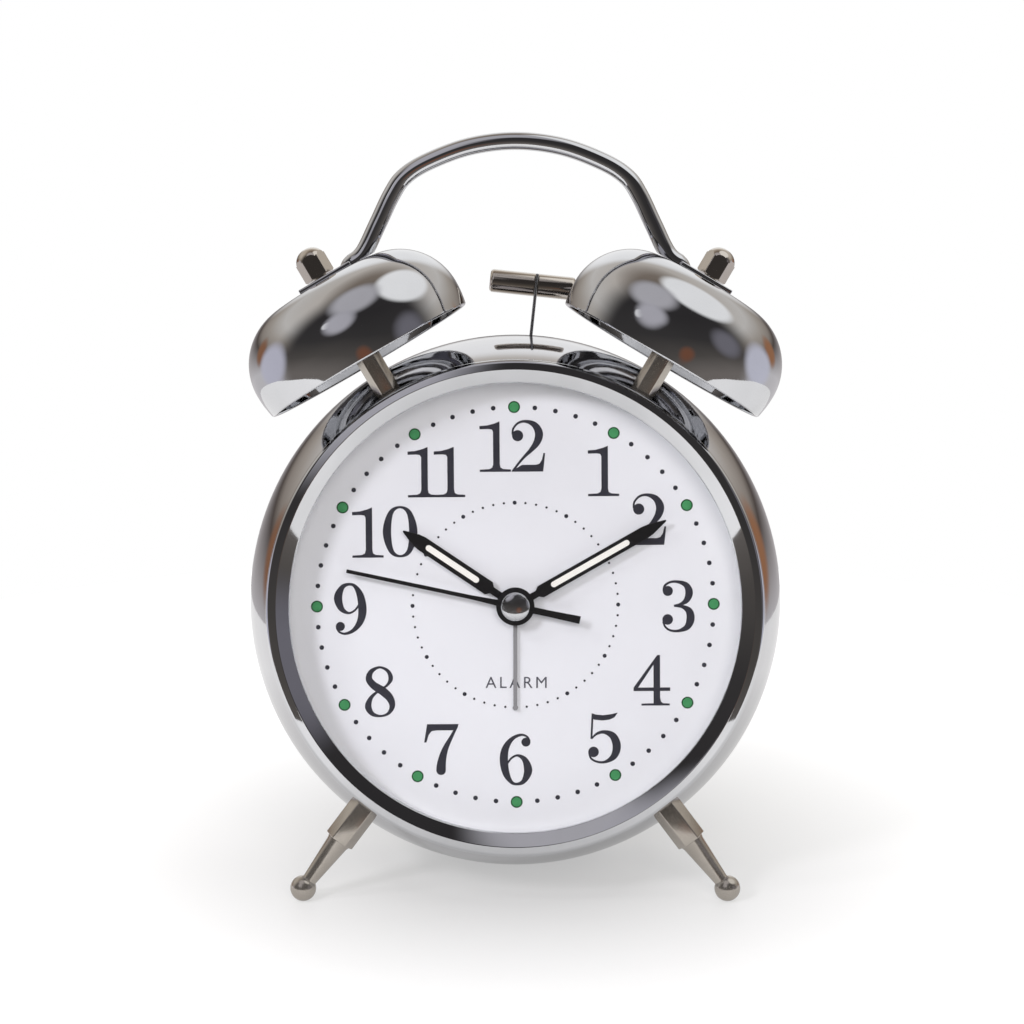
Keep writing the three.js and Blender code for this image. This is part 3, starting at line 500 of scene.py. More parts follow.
def makeDrum():
    rearCorner = arc(drum["rear"] - 1.7, drum["depth"] - 1.7, 1.7, 5, 90, 8)
    profile = [(drumRadius(d), d) for d in drum["rings"]] + rearCorner + [(drum["flange"], drum["depth"])]
    piece = turnedPiece("chromeDrum", profile, drum["steps"])
    bpy.ops.object.mode_set(mode="EDIT")
    bpy.ops.mesh.select_all(action="DESELECT")
    bpy.ops.object.mode_set(mode="OBJECT")
    middle = piece.data.polygons[len(piece.data.polygons) // 2]
    outward = middle.normal.xy.dot(middle.center.xy) > 0
    low, high = (d * mm for d in drum["slotDepths"])
    for face in piece.data.polygons:  # faces of the hammer's slot, at the top of the drum
        within = low - 1e-6 < face.center.z < high + 1e-6
        face.select = within and face.center.y < 0 and abs(face.center.x) < drum["slotHalf"] * mm
    bpy.ops.object.mode_set(mode="EDIT")
    bpy.ops.mesh.delete(type="FACE")
    if not outward:
        bpy.ops.mesh.select_all(action="SELECT")
        bpy.ops.mesh.flip_normals()
    bpy.ops.object.mode_set(mode="OBJECT")
    applyModifier(piece, "SOLIDIFY", {"thickness": drum["sheet"] * mm, "offset": -1})
    finishPiece(piece, clockFrame @ alongAxis, "root", drumChrome, ["case_barrel"])


bezel = {"opening": 49.2, "lip": 52.2, "bead": 54.3, "steps": 192}


def makeBezel():
    bead = arc(53.05, 1.35, 1.3, 50, -70, 12)
    lip = arc(bezel["lip"], 0.3, 0.3, -60, -125, 5)
    rolled = arc(49.75, 2.1, 0.55, 245, 180, 5) + [(bezel["opening"], 3.0)] + arc(49.9, 3.4, 0.65, 180, 95, 5)
    back = [(51.0, 4.0), (52.0, 2.2), (52.4, 2.0), (52.4, 9.6), (53.2, 9.6), (53.2, 3.05)]
    front = [(54.1, 3.05), (bezel["bead"], 2.8)] + bead + lip + rolled
    piece = turnedPiece("frontBezel", front + back, bezel["steps"], closed=True)
    finishPiece(piece, clockFrame @ alongAxis, "root", chromePlate, ["bezel_ring"], 40)


makeDrum()
makeBezel()
spacer = turnedPiece("dialSpacer", [(50.4, 5.6), (51.9, 5.6), (52, 5.7), (52, 9.7), (50.4, 9.7)], 128, True)
finishPiece(spacer, clockFrame @ alongAxis, "root", whiteAcetal, ["dial_spacer"])
print("case ready")


# Bell sizes are measured from the rim upwards; belly is centre radius, centre height and bend radius.
bell = {"belly": (11.1, 5.6, 13.9), "wall": 1, "hole": 1.8, "steps": 160}


def makeBell(name, sign, node):
    base = bellPlan["rimAt"]
    cx, cz, radius = bell["belly"]
    outer = [(24.42, 0.35), (24.62, 1.4), (24.85, 2.9), (24.96, 4.2)]
    outer += arc(cx, cz, radius, 0, 86, 22) + [(9, 19.57), (6, 19.6), (bell["hole"], 19.6)]
    inner = [(bell["hole"], 18.6), (6, 18.6)] + arc(cx, cz, radius - bell["wall"], 86, 0, 18)
    inner += [(23.85, 2.9), (23.6, 1.4), (23.42, 0.35)]
    rim = arc(23.92, 0.45, 0.45, 190, 350, 8)
    profile = [(r, base + h) for r, h in outer + inner + rim]
    piece = turnedPiece(name, profile, bell["steps"], closed=True)
    place = topFrame @ turnY(sign * bellPlan["angle"])
    finishPiece(piece, place, "root", chromePlate, [node], 40)


post = {"flats": 4.9, "foot": 54.6, "edge": 0.22, "stud": 1.5}


def makePost(name, sign, node):
    top = bellPlan["rimAt"] + bellPlan["height"] - 1.3
    shaft = hexBar(name, post["flats"], post["foot"], top, post["edge"])
    r = post["stud"]
    stud = turnedPiece("stud", [(0, top - 1), (r, top - 1), (r, top + 7), (1.2, top + 7.4), (0, top + 7.4)], 32)
    joinPieces(shaft, stud)
    finishPiece(shaft, topFrame @ turnY(sign * bellPlan["angle"]), "root", nickelPlate, [node])


nutShape = {"flats": 6.1, "edge": 0.12, "belt": 3.5}


def makeNut(name, sign, node):
    base = bellPlan["rimAt"] + bellPlan["height"] + 1.6
    nut = hexBar(name, nutShape["flats"], base - 0.5, base + 8, nutShape["edge"])
    dome = [(0, base), (3.2, base), (nutShape["belt"], base + 0.3), (3.52, base + 4.6)]
    dome += arc(0.2, base + 3.6, 3.25, 14, 88, 12) + [(0, base + 6.86)]
    cutWith(nut, turnedPiece("dome", dome, 96), "INTERSECT")
    finishPiece(nut, topFrame @ turnY(sign * bellPlan["angle"]), "root", brightNickel, [node], 25)


def smoothLine(points, steps=7):
    # A curve through every point; it closes on itself where the first and last points agree.
    padded = [points[0]] + points + [points[-1]]
    if points[0] == points[-1]:
        padded = [points[-2]] + points + [points[1]]
    line = []
    for a, b, c, d in zip(padded, padded[1:], padded[2:], padded[3:]):
        for i in range(steps):
            t = i / steps
            line.append(tuple(
                q + ((r - p) * t + (2 * p - 5 * q + 4 * r - s) * t * t + (3 * q - p - 3 * r + s) * t ** 3) / 2
                for p, q, r, s in zip(a, b, c, d)
            ))
    return line + [points[-1]]


handle = {
    "radius": 1.95, "tab": 1, "tabHalf": 3.4,
    "arch": [(-33.2, 77.2), (-30, 83.6), (-27, 89.9), (-24.2, 93.9), (-19, 97.2), (-10, 100.5), (0, 101.7)],
}


def makeHandle():
    lift = bellPlan["rimAt"] + bellPlan["height"] + 0.8
    a = math.radians(bellPlan["angle"])
    ends = [(-(math.sin(a) * lift - math.cos(a) * t), math.cos(a) * lift + math.sin(a) * t) for t in (4.8, 6.4)]
    half = ends + handle["arch"]
    line = smoothLine(half + [(-x, z) for x, z in reversed(half[:-1])], 12)
    clearSelection()
    bpy.ops.curve.primitive_bezier_curve_add()
    bar = nameActive("carryHandleBar")
    curve = bar.data
    curve.splines.clear()
    spline = curve.splines.new("POLY")
    spline.points.add(len(line) - 1)
    for i, (point, (x, z)) in enumerate(zip(spline.points, line)):
        point.co = (x * mm, 0, z * mm, 1)
        # The rod swells out of its flattened ends.
        point.radius = min(1, 0.26 + 0.045 * min(i, len(line) - 1 - i))
    curve.bevel_depth = handle["radius"] * mm
    curve.bevel_resolution = 8
    curve.use_fill_caps = True
    bpy.ops.object.convert(target="MESH")
    tabs = []
    for sign in (-1, 1):
        low = lift - handle["tab"] / 2
        tab = block("tab", (-7.2, -handle["tabHalf"], low), (5.6, handle["tabHalf"], low + handle["tab"]))
        roundEdges(tab, 0.3, 3)
        tab.matrix_world = turnY(sign * bellPlan["angle"]) @ Matrix.Diagonal((sign, sign, 1, 1))
        makeActive(tab)
        bpy.ops.object.transform_apply(location=True, rotation=True, scale=True)
        under = turnedPiece("under", [(0, 60), (27, 60), (27, low - 0.02), (0, low - 0.02)], 64)
        over = turnedPiece("over", [(0, low + 1.02), (4.1, low + 1.02), (4.1, 95), (0, 95)], 64)
        for tool in (under, over):
            tool.matrix_world = turnY(sign * bellPlan["angle"])
            cutWith(bar, tool)
        tabs.append(tab)
    joinPieces(bar, *tabs)
    finishPiece(bar, topFrame, "root", chromePlate, ["carry_handle"], 40)


for side, sign in (("left", -1), ("right", 1)):
    makeBell(side + "BellShell", sign, side + "_bell")
    makePost(side + "HexPost", sign, side + "_post")
    makeNut(side + "DomedNut", sign, side + "_nut")
makeHandle()
print("bells and handle ready")


# The legs point outwards from the clock's axis, this many degrees from straight down.
leg = {"angle": 36.9, "depth": 6.3, "flats": 6, "ballAt": 77.7, "ball": 2.85}


def makeLeg(name, degrees, node):
    hexPart = hexBar(name, leg["flats"], 54.6, 64.5, 0.2)
    at, ball = leg["ballAt"], leg["ball"]
    neck = [(0, 63.6), (2.8, 63.6), (2.72, 64.6), (2.5, 65.3), (1.62, at - 2.6)]
    profile = neck + arc(0, at, ball, -55, 90, 20)
    whole = joinPieces(hexPart, turnedPiece("cone", profile, 64))
    whole.matrix_world = clockFrame @ shift(0, leg["depth"], 0) @ turnY(degrees)
    makeActive(whole)
    bpy.ops.object.transform_apply(location=True, rotation=True, scale=True)
    bpy.ops.object.mode_set(mode="EDIT")
    bpy.ops.mesh.select_all(action="SELECT")
    ground = (0, 0, 0.02 * mm)
    bpy.ops.mesh.bisect(plane_co=ground, plane_no=(0, 0, 1), clear_inner=True, use_fill=True)
    bpy.ops.object.mode_set(mode="OBJECT")
    finishPiece(whole, Matrix.Identity(4), "root", nickelPlate, [node], 35)


makeLeg("leftBallLeg", 180 + leg["angle"], "left_leg")
makeLeg("rightBallLeg", 180 - leg["angle"], "right_leg")


# The hammer turns about its pivot above the clock's axis, and is drawn upright before its lean.
hammer = {"pivot": 26, "turn": 6, "reach": 44.3, "radius": 2.55, "length": 19, "depth": 24.3, "wire": 0.35}
hammerFrame = clockFrame @ shift(0, 0, hammer["pivot"]) @ turnY(hammer["turn"])


def makeHammer():
    half, r = hammer["length"] / 2, hammer["radius"]
    profile = [(0, -half)] + arc(r - 0.8, -half + 0.8, 0.8, -90, 0, 6)
    profile += arc(r - 0.8, half - 0.8, 0.8, 0, 90, 6) + [(0, half)]
    head = turnedPiece("hammerHeadRod", profile, 64)
    centre = hammer["depth"] + 2.15
    head.matrix_world = shift(-0.85, centre, hammer["reach"]) @ turnY(90)
    makeActive(head)
    bpy.ops.object.transform_apply(location=True, rotation=True, scale=True)
    low, high = hammer["reach"] - 5, hammer["reach"] + 5
    groove = block("groove", (-0.55, centre - 4, low), (0.55, centre - 1.6, high))
    cutWith(head, groove)
    finishPiece(head, hammerFrame, "hammer", brightNickel, ["hammer_head"])
    top = hammer["reach"] + r
    line = [(0, 2.2), (hammer["wire"], 2.2), (hammer["wire"], top - 0.15), (0.2, top), (0, top)]
    wire = turnedPiece("hammerSpringWire", line, 24)
    place = hammerFrame @ shift(0, hammer["depth"], 0)
    finishPiece(wire, place, "hammer", zincSteel, ["hammer_wire"])


makeHammer()
roundedCopy("hammer_lever", "hammerClampLever", 0.12, "hammer", turnedBrass)
print("legs and hammer ready")


# Hand sizes run from the hub outwards; the angle is clockwise from twelve.
hourShape = {
    "angle": 303.8, "neck": 1.6, "body": 3.2, "bodyFrom": 7, "taperFrom": 24.7, "length": 29.6,
    "slot": (9.7, 23.5), "slotWidth": 1.3, "hub": 4, "bore": 2.4, "front": 8.3,
}
minuteShape = {
    "angle": 60.2, "neck": 1.5, "body": 2.8, "bodyFrom": 6.4, "taperFrom": 32.5, "length": 38,
    "slot": (9.1, 28.7), "slotWidth": 1.25, "hub": 3.9, "bore": 1.6, "front": 7.6,
}


def circle(radius, steps=72, cx=0, cy=0):
    return arc(cx, cy, radius, 0, 360 - 360 / steps, steps - 1)


def slotOutline(shape, inset):
    low, high = shape["slot"]
    r = shape["slotWidth"] / 2
    return arc(0, high - r, r - inset, 0, 180, 12) + arc(0, low + r, r - inset, 180, 360, 12)


def bladeOutline(shape):
    # Right side upwards, over the tip, down the left side and round the hub.
    w, n = shape["body"] / 2, shape["neck"] / 2
    tip, hub = shape["length"], shape["hub"]
    reach = tip - shape["taperFrom"]
    side = [(n, shape["bodyFrom"] - 0.8), (w, shape["bodyFrom"]), (w, shape["taperFrom"])]
    side += [(w * share, shape["taperFrom"] + reach * along) for share, along in ((0.86, 0.3), (0.5, 0.65))]
    side.append((0.16, tip))
    start = math.degrees(math.acos(n / hub))
    round_ = arc(0, 0, hub, 180 - start, 360 + start, 60)
    return side + [(-x, y) for x, y in reversed(side)] + round_


def makeHand(name, shape, nodes, body):
    rear = shape["front"] + 0.3
    outline = [bladeOutline(shape), slotOutline(shape, 0), circle(shape["bore"])]
    blade = flatPiece(name, outline, shape["front"], rear, 0.06)
    place = clockFrame @ turnY(shape["angle"])
    finishPiece(blade, place, body, handPaint, [nodes[0]], 35)
    fill = flatPiece(name + "Inlay", [slotOutline(shape, -0.03)], shape["front"] + 0.03, rear, 0.02)
    finishPiece(fill, place, body, inlayPaint, [nodes[1]], 35)


secondShape = {"angle": 281.9, "tip": 37.8, "tail": 14.5, "hub": 4.2, "root": 0.66, "cap": 3.2}
alarmShape = {"angle": 180, "tip": 22.6, "hub": 3.9, "bore": 3.2, "half": 0.43}


def makeSecondHand():
    tip, tail, hub, root = (secondShape[key] for key in ("tip", "tail", "hub", "root"))
    front = [(0.45, 10), (0.4, tip), (-0.4, tip), (-0.45, 10), (-root, 4)]
    rear = [(-root, -4), (-0.85, -tail), (0.85, -tail), (root, -4)]
    a = math.degrees(math.acos(root / hub))
    outline = front + arc(0, 0, hub, 180 - a, 180 + a, 40) + rear + arc(0, 0, hub, -a, a, 40) + [(root, 4)]
    piece = flatPiece("secondHandBlade", [outline, circle(0.8, 32)], 6.9, 7.2, 0.05)
    place = clockFrame @ turnY(secondShape["angle"])
    finishPiece(piece, place, "second_train", handPaint, ["second_hand"], 35)
    r = secondShape["cap"]
    turns = [math.pi / 2 * i / 14 for i in range(1, 15)]
    profile = [(0, 5.6)] + [(r * math.sin(t), 6.6 - math.cos(t)) for t in turns] + [(r, 6.6), (0, 6.6)]
    cap = turnedPiece("centreCapDome", profile, 96)
    finishPiece(cap, clockFrame @ alongAxis, "second_train", chromePlate, ["centre_cap"], 40)


def makeAlarmHand():
    half, hub, tip = alarmShape["half"], alarmShape["hub"], alarmShape["tip"]
    a = math.degrees(math.acos(half / hub))
    outline = [(half, 4), (0.42, tip - 0.4)] + arc(0, tip, 0.58, -30, 210, 14) + [(-0.42, tip - 0.4)]
    outline += arc(0, 0, hub, 180 - a, 360 + a, 60)
    piece = flatPiece("alarmHandBlade", [outline, circle(alarmShape["bore"])], 9.1, 9.35, 0.04)
    place = clockFrame @ turnY(alarmShape["angle"])
    finishPiece(piece, place, "alarm_train", alarmHandPaint, ["alarm_hand"], 35)


makeHand("hourHandBlade", hourShape, ["hour_hand", "hour_hand_inlay"], "hour_train")
makeHand("minuteHandBlade", minuteShape, ["minute_hand", "minute_hand_inlay"], "minute_train")
makeSecondHand()
makeAlarmHand()
print("hands ready")


# Numerals are drawn on a grid 203 units high and scaled to their real height.
printing = {
    "height": 11.3, "grid": 203, "depth": 9.97, "thick": 0.02, "turn": -0.4,
    "markRing": 43.6, "hourDot": 1.33, "minuteDot": 0.52,
    "alarmRing": 22.6, "alarmHourDot": 0.45, "alarmDot": 0.26,
    "word": "ALARM", "wordSize": 3.6, "wordAt": (0.3, -18.3),
}
# Ball ends are (x, y, radius), strokes are centre lines with a width at each point, fills are outlines.
glyphs = {
    "1": {"fills": [[
        (0, 168), (0, 181), (30, 183), (60, 191), (79, 199), (79, 30), (82, 17), (92, 11), (123, 9), (123, 0),
        (0, 0), (0, 9), (38, 11), (49, 17), (53, 30), (53, 158), (48, 167), (34, 169),
    ]]},
    "2": {"balls": [(27, 142, 22)], "strokes": [[
        (7, 146, 8), (10, 170, 8), (30, 192, 9), (60, 198, 12), (94, 184, 24), (111, 152, 32), (104, 118, 28),
        (82, 88, 18), (54, 60, 11), (28, 30, 9), (9, 5, 9),
    ]], "fills": [[
        (2, 0), (127, 0), (135, 73), (128, 73), (122, 46), (112, 31), (98, 27), (44, 27), (20, 13), (5, 8),
    ]]},
    "3": {"balls": [(22, 163, 20), (21, 50, 21)], "strokes": [[
        (5, 165, 8), (10, 184, 9), (32, 198, 9), (62, 199, 12), (94, 186, 22), (106, 158, 30), (97, 128, 24),
        (74, 111, 12), (46, 104, 8),
    ], [
        (46, 104, 8), (80, 100, 14), (106, 82, 28), (111, 50, 32), (98, 20, 24), (66, 5, 12), (34, 6, 9),
        (12, 20, 8), (3, 42, 8),
    ]]},
    "4": {"fills": [
        [
            (79, 9), (79, 168), (105, 201), (105, 30), (109, 15), (117, 9), (143, 8), (143, 0), (31, 0), (31, 8),
            (60, 9),
        ],
        [(0, 58), (145, 58), (145, 72), (0, 72)],
        [(0, 62), (0, 72), (94, 201), (105, 201), (14, 66)],
    ]},
    "5": {"balls": [(21, 45, 21)], "strokes": [[
        (18, 196, 8), (15, 140, 8), (13, 97, 8),
    ], [
        (13, 97, 6), (34, 117, 10), (64, 124, 15), (98, 108, 28), (113, 68, 33), (102, 28, 26), (70, 6, 12),
        (38, 5, 9), (12, 18, 8), (4, 40, 8),
    ]], "fills": [[
        (14, 200), (30, 194), (60, 191), (92, 195), (118, 201), (104, 182), (84, 173), (56, 170), (22, 174),
    ]]},
    "6": {"balls": [(104, 172, 18)], "strokes": [[
        (119, 176, 8), (108, 194, 8), (84, 201, 10), (50, 186, 16), (24, 150, 27), (16, 104, 33), (24, 50, 28),
        (44, 14, 15), (66, 5, 11), (92, 14, 18), (109, 44, 30), (111, 70, 32), (98, 103, 22), (72, 119, 10),
        (48, 110, 8), (30, 88, 8),
    ]]},
    "7": {"balls": [(66, 19, 19)], "strokes": [[
        (131, 196, 9), (108, 152, 14), (86, 110, 22), (73, 72, 30), (67, 38, 36), (66, 20, 38),
    ]], "fills": [[
        (12, 203), (137, 203), (132, 186), (116, 178), (50, 178), (30, 175), (18, 160), (9, 130), (0, 130),
    ]]},
    "8": {"strokes": [[
        (64, 199, 9), (31, 183, 18), (21, 154, 26), (40, 127, 30), (75, 104, 34), (103, 76, 30), (112, 44, 22),
        (96, 15, 12), (64, 5, 9), (32, 15, 18), (17, 44, 26), (30, 80, 15), (60, 106, 9), (92, 127, 10),
        (107, 154, 18), (96, 184, 14), (64, 199, 9),
    ]]},
    "9": {"balls": [(24, 31, 18)], "strokes": [[
        (9, 27, 8), (20, 9, 8), (44, 2, 10), (78, 17, 16), (104, 53, 27), (112, 99, 33), (104, 153, 28),
        (84, 189, 15), (62, 198, 11), (36, 189, 18), (19, 159, 30), (17, 133, 32), (30, 100, 22), (56, 84, 10),
        (80, 93, 8), (98, 115, 8),
    ]]},
    "0": {"strokes": [[
        (69, 199, 9), (33, 177, 20), (17, 102, 33), (33, 27, 20), (69, 5, 9), (105, 27, 20), (121, 102, 33),
        (105, 177, 20), (69, 199, 9),
    ]]},
}
# Lower left corner of each hour in millimetres from the dial's centre, and how far its second figure steps.
# Each numeral: left edge, foot, and the step from one figure to the next in grid units.
hours = {
    "12": (-7.6, 29.4, 123), "1": (16.1, 23.9, 0), "2": (25.7, 13.1, 0), "3": (32.3, -6.15, 0),
    "4": (25.9, -22.4, 0), "5": (15.85, -35.1, 0), "6": (-3.66, -39.9, 0), "7": (-20.3, -37.5, 0),
    "8": (-33.5, -24.6, 0), "9": (-39.85, -6.15, 0), "10": (-35.7, 10.7, 120), "11": (-23.4, 23.9, 103),
}


def strokeOutline(points):
    line = smoothLine(points)
    left, right = [], []
    last = len(line) - 1
    for i, (x, y, width) in enumerate(line):
        before, after = line[max(i - 1, 0)], line[min(i + 1, last)]
        if points[0] == points[-1] and i in (0, last):
            before, after = line[last - 1], line[1]
        run = Vector((after[0] - before[0], after[1] - before[1])).normalized() * width / 2
        left.append((x - run.y, y + run.x))
        right.append((x + run.y, y - run.x))
    # Short lengths, each a simple outline, so that a stroke may cross itself.
    return [left[i:i + 9] + right[i:i + 9][::-1] for i in range(0, last, 8)]


def makeNumerals():
    scale = printing["height"] / printing["grid"]
    parts = []
    for hour, (x0, y0, step) in hours.items():
        for place, figure in enumerate(hour):
            glyph = glyphs[figure]
            shapes = [length for s in glyph.get("strokes", []) for length in strokeOutline(s)]
            shapes += glyph.get("fills", [])
            shapes += [circle(r, 28, x, y) for x, y, r in glyph.get("balls", [])]
            for layer, shape in enumerate(shapes):
                outline = [(x0 + (x + step * place) * scale, y0 + y * scale) for x, y in shape]
                front = printing["depth"] - 0.001 * (layer % 8)
                parts.append(flatPiece("stroke", [outline], front, printing["depth"] + printing["thick"], 0))
    numerals = joinPieces(parts[0], *parts[1:])
    numerals.name = numerals.data.name = "dialNumerals"
    finishPiece(numerals, clockFrame @ turnY(printing["turn"]), "root", printInk)


def dotRing(name, ring, radius, angles, material, front):
    # One dot is a short disc with a softened edge, copied round the ring.
    bpy.ops.object.select_all(action="DESELECT")
    dots = []
    for angle in angles:
        a = math.radians(angle)
        centre = (ring * math.sin(a), ring * math.cos(a))
        rear = printing["depth"] + printing["thick"]
        dots.append(flatPiece("dot", [circle(radius, 20, *centre)], front, rear, 0.01))
    piece = joinPieces(dots[0], *dots[1:])
    piece.name = piece.data.name = name
    finishPiece(piece, clockFrame @ turnY(printing["turn"]), "root", material)


def makeDialPrint():
    makeNumerals()
    everyHour = [30 * i for i in range(12)]
    between = [6 * i for i in range(60) if i % 5]
    depth, marks, alarm = printing["depth"], printing["markRing"], printing["alarmRing"]
    for name, ring, radius, angles, material, slot, front in [
        ("hourDotRims", marks, printing["hourDot"], everyHour, glowEdge, "hand_black", depth),
        ("hourGlowDots", marks, printing["hourDot"] - 0.3, everyHour, glowPaint, "dial", depth - 0.04),
        ("minuteDots", marks, printing["minuteDot"], between, printInk, "hand_black", depth),
        ("alarmHourDots", alarm, printing["alarmHourDot"], everyHour, printInk, "hand_black", depth),
        ("alarmDots", alarm, printing["alarmDot"], between, printInk, "hand_black", depth),
    ]:
        dotRing(name, ring, radius, angles, material, front)
    clearSelection()
    bpy.ops.object.text_add()
    word = nameActive("alarmWord")
    word.data.body = printing["word"]
    word.data.align_x = "CENTER"
    word.data.size = printing["wordSize"]
    word.data.space_character = 1.3
    word.data.extrude = 0.01
    bpy.ops.object.convert(target="MESH")
    # The letters are made a thousand times too large, where the curve tools are exact, and scaled down.
    x, z = printing["wordAt"]
    place = clockFrame @ shift(x, depth, z) @ onDial @ Matrix.Diagonal((mm, mm, mm, 1))
    finishPiece(word, place, "root", greyInk)


makeDialPrint()
print("dial printed")


# Each rear piece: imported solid, name, edge rounding in millimetres, body, slot and material.
for node, name, width, body, slot, material in [
    ("rear_cover", "mouldedRearCover", 0.25, "root", "black_plastic", blackAbs),
    ("battery_door", "batteryLid", 0.3, "battery_door", "black_plastic", blackAbs),
    ("time_knob", "timeSettingKnob", 0.15, "time_knob", "black_plastic", blackAbs),
    ("alarm_knob", "alarmSettingKnob", 0.15, "alarm_knob", "black_plastic", blackAbs),
    ("alarm_switch", "alarmSlideSwitch", 0.15, "alarm_switch", "black_plastic", blackAbs),
    ("cover_screw_1", "crossScrewTop", 0.08, "root", "steel", zincSteel),
    ("cover_screw_2", "crossScrewLeft", 0.08, "root", "steel", zincSteel),
    ("cover_screw_3", "crossScrewRight", 0.08, "root", "steel", zincSteel),
]:
    roundedCopy(node, name, width, body, material)
print("back ready")


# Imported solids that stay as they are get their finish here.
kept = {
    "dial_plate": dialEnamel, "crystal_lens": floatGlass, "mounting_ring": blackAbs,
    "movement_front": blackAbs, "movement_rear": blackAbs, "battery_tray": blackAbs,
    "alarm_wheel": whiteAcetal, "hour_wheel": whiteAcetal, "motion_wheel": whiteAcetal,
    "centre_wheel": whiteAcetal, "third_wheel": whiteAcetal, "second_wheel": whiteAcetal,
    "fifth_wheel": whiteAcetal, "striker_gear": whiteAcetal, "striker_pinion": turnedBrass,
    "rotor": zincSteel, "stator": zincSteel, "striker_bracket": zincSteel, "striker_motor": motorCan,
    "crystal_can": motorCan, "positive_contact": zincSteel, "negative_contact": zincSteel,
    "drive_coil": copperWinding, "circuit_board": solderMask, "battery_cell": cellLabel,
}
for node, material in kept.items():
    solid = frame["nodes"][node]
    if solid.data.materials:
        solid.data.materials[0] = material
    else:
        solid.data.materials.append(material)
print("inner works ready")


# Lamp strengths are in watts; the floor's glow is dimmed under the clock, a painted soft shadow, and rises to
# full towards its edge, radii in metres.
stage = {
    "floorHex": "#959595", "floorRadius": 0.26, "paintedShadowGlow": 0.42, "floorMirror": 0.66, "paintedShadowRadius": 0.03,
    "paintedShadowFadeRadius": 0.15, "key": 2.3, "fill": 3.7, "left": 0.8,
}


def makeStage():
    # The floor glows so that it stays pale; its glow is weaker under the clock, a painted soft shadow, and it
    # looks a little darker in mirrors.
    clearSelection()
    bpy.ops.mesh.primitive_circle_add(vertices=96, radius=stage["floorRadius"], fill_type="NGON")
    floor = nameActive("paleFloor")
    material, tree, shader = newMaterial("glowingFloorPaintedShadow", {"Roughness": 0.6})
    shader.inputs["Base Color"].default_value = fromHex(stage["floorHex"])
    source = addNode(tree, "ShaderNodeTexCoord", {})
    reach = addNode(tree, "ShaderNodeVectorMath", {"operation": "LENGTH"}, {0: source.outputs["Object"]})
    # Weaker glow near the clock's centre: painted shadow under the clock.
    glow = addNode(tree, "ShaderNodeMapRange", {
        "From Min": stage["paintedShadowRadius"], "From Max": stage["paintedShadowFadeRadius"], "To Min": stage["paintedShadowGlow"], "To Max": 1,
    }, {"Value": reach.outputs["Value"]})
    sight = addNode(tree, "ShaderNodeLightPath", {})
    share = addNode(tree, "ShaderNodeMapRange", {"To Min": stage["floorMirror"], "To Max": 1}, {
        "Value": sight.outputs["Is Camera Ray"],
    })
    strength = addNode(tree, "ShaderNodeMath", {"operation": "MULTIPLY"}, {
        0: glow.outputs["Result"], 1: share.outputs["Result"],
    })
    shader.inputs["Emission Color"].default_value = (1, 1, 1, 1)
    tree.links.new(strength.outputs[0], shader.inputs["Emission Strength"])
    floor.data.materials.append(material)


def heading(azimuth, elevation):
    # Azimuth is measured from straight in front, to the right.
    a, e = math.radians(azimuth), math.radians(elevation)
    return Vector((math.sin(a) * math.cos(e), -math.cos(a) * math.cos(e), math.sin(e)))


def areaLight(name, azimuth, elevation, distance, size, watts, colour):
    place = heading(azimuth, elevation) * distance
    clearSelection()
    bpy.ops.object.light_add(type="AREA", location=lipCentre + place)
    light = nameActive(name)
    light.rotation_euler = (-place).to_track_quat("-Z", "Y").to_euler()
    light.data.shape = "DISK" if size[0] == size[1] else "RECTANGLE"
    light.data.size, light.data.size_y = size
    light.data.energy = watts
    light.data.color = fromHex(colour)[:3]
    light.visible_glossy = False


# What the chrome mirrors: a dark room in front, a paler wall behind, and a few soft patches. Each stop of
# a wall is a height from -1 to 1 and a colour; each patch is azimuth, elevation, half width and softness
# in degrees, and a colour.
room = {
    "behind": [
        (-0.3, "#cfccce"), (-0.17, "#a5a0a0"), (-0.02, "#544c48"), (0.07, "#938a82"), (0.2, "#aea69d"),
        (0.4, "#d2cec9"), (0.75, "#cac3bb"), (0.95, "#857a70"),
    ],
    "front": [(-0.4, "#77716d"), (-0.1, "#55514e"), (0.25, "#3c3a3a"), (0.7, "#343233")],
    "patches": [
        (10, -4, 1, 9, "#7a5240"), (128, -2, 4, 9, "#a07254"), (-126, -2, 3, 9, "#8e664e"),
        (100, -12, 14, 12, "#cfcfdc"), (-100, -12, 14, 12, "#cbcad8"), (180, 20, 14, 14, "#ffffff"),
        (-44, 34, 3, 3, "#ffffff"), (98, 60, 22, 8, "#ffffff"), (-34, 70, 14, 14, "#bcbabf"),
        (-28, 38, 9, 12, "#bbb9c0"), (60, 12, 6, 16, "#77757d"),
    ],
}


def elevationRamp(tree, height, stops):
    ramp = addNode(tree, "ShaderNodeValToRGB", {}, {"Fac": height})
    elements = ramp.color_ramp.elements
    while len(elements) < len(stops):
        elements.new(0.5)
    for element, (at, colour) in zip(elements, stops):
        element.position, element.color = (at + 1) / 2, fromHex(colour)
    return ramp.outputs["Color"]


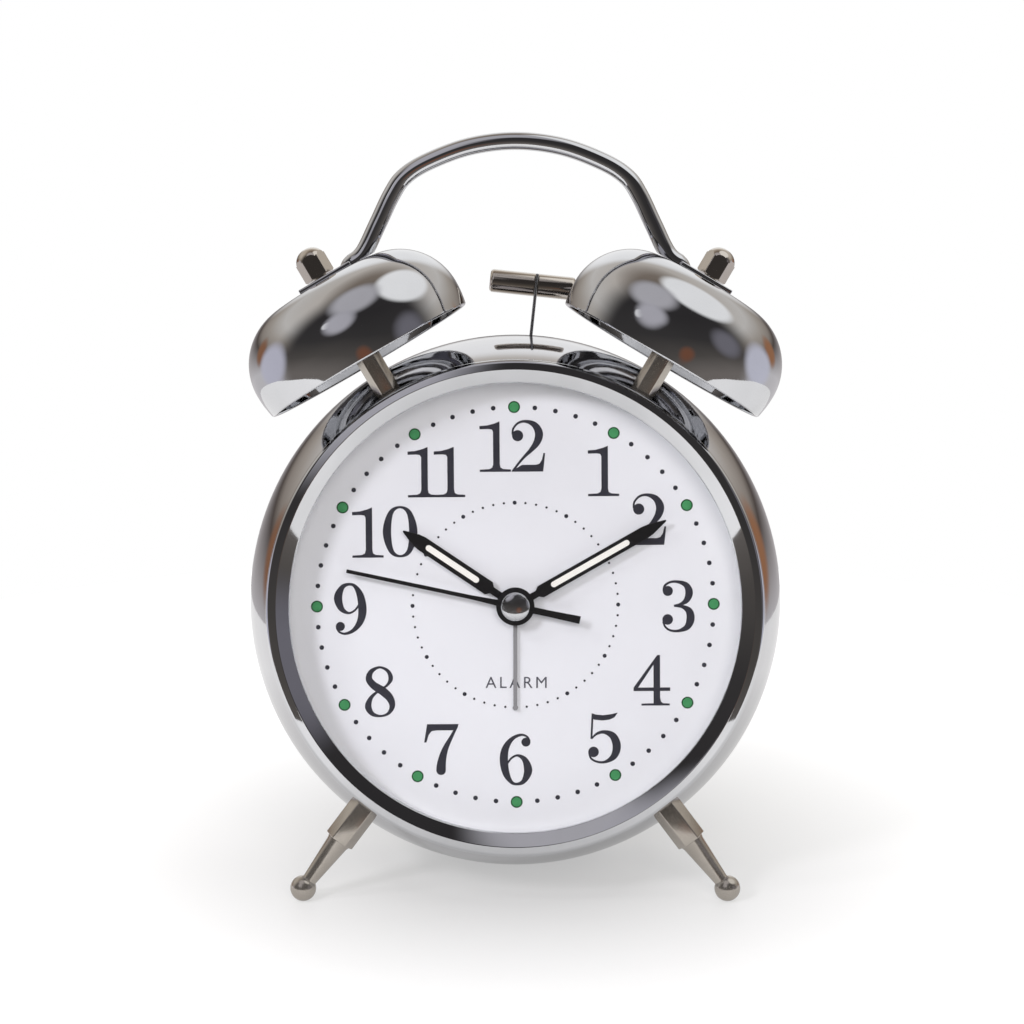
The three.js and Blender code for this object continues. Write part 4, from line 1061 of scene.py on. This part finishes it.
def makeWorld():
    world = bpy.data.worlds.new("studioRoom")
    bpy.context.scene.world = world
    world.use_nodes = True
    tree = world.node_tree
    ground = tree.nodes["Background"]
    sight = addNode(tree, "ShaderNodeTexCoord", {})
    parts = addNode(tree, "ShaderNodeSeparateXYZ", {}, {"Vector": sight.outputs["Generated"]})
    height = addNode(tree, "ShaderNodeMapRange", {"From Min": -1}, {"Value": parts.outputs["Z"]})
    depth = addNode(tree, "ShaderNodeMapRange", {
        "interpolation_type": "SMOOTHSTEP", "From Min": -0.35, "From Max": 0.3,
    }, {"Value": parts.outputs["Y"]})
    colour = addNode(tree, "ShaderNodeMix", {"data_type": "RGBA"}, {
        0: depth.outputs["Result"],
        6: elevationRamp(tree, height.outputs["Result"], room["front"]),
        7: elevationRamp(tree, height.outputs["Result"], room["behind"]),
    }).outputs[2]
    for azimuth, elevation, width, soft, patchHex in room["patches"]:
        near = addNode(tree, "ShaderNodeVectorMath", {
            "operation": "DOT_PRODUCT", 1: heading(azimuth, elevation),
        }, {0: sight.outputs["Generated"]})
        mask = addNode(tree, "ShaderNodeMapRange", {
            "interpolation_type": "SMOOTHSTEP",
            "From Min": math.cos(math.radians(width + soft)), "From Max": math.cos(math.radians(width)),
        }, {"Value": near.outputs["Value"]})
        colour = addNode(tree, "ShaderNodeMix", {"data_type": "RGBA", 7: fromHex(patchHex)}, {
            0: mask.outputs["Result"], 6: colour,
        }).outputs[2]
    tree.links.new(colour, ground.inputs["Color"])
    path = addNode(tree, "ShaderNodeLightPath", {})
    plain = addNode(tree, "ShaderNodeBackground", {"Color": (1, 1, 1, 1)})
    mixed = addNode(tree, "ShaderNodeMixShader", {}, {
        0: path.outputs["Is Camera Ray"], 1: ground.outputs["Background"], 2: plain.outputs["Background"],
    })
    tree.links.new(mixed.outputs["Shader"], tree.nodes["World Output"].inputs["Surface"])


# The camera's place is in the clock's own frame; pitch is above the case's front centre, in degrees.
view = {"back": 796, "up": 79.5, "lens": 129.5, "pitch": 1.52, "yaw": 0.054}


def makeCamera():
    bpy.ops.object.camera_add(location=clockFrame @ Vector((0, -view["back"] * mm, view["up"] * mm)))
    camera = nameActive("studioCamera")
    camera.data.lens = view["lens"]
    camera.data.sensor_width = 36
    toLip = lipCentre - camera.location
    pitch = math.atan2(toLip.z, math.hypot(toLip.x, toLip.y)) + math.radians(view["pitch"])
    camera.rotation_euler = (math.radians(90) + pitch, 0, math.radians(view["yaw"]))
    bpy.context.scene.camera = camera


makeStage()
areaLight("keySoftbox", -42, 31, 0.7, (0.16, 0.16), stage["key"], "#fdfbff")
areaLight("fillSoftbox", 8, 24, 0.8, (0.5, 0.5), stage["fill"], "#fffaf5")
areaLight("sideLamp", -66, 40, 0.7, (0.1, 0.1), stage["left"], "#ffffff")
makeWorld()
makeCamera()
bpy.context.scene.view_settings.view_transform = "Standard"
print("stage ready")
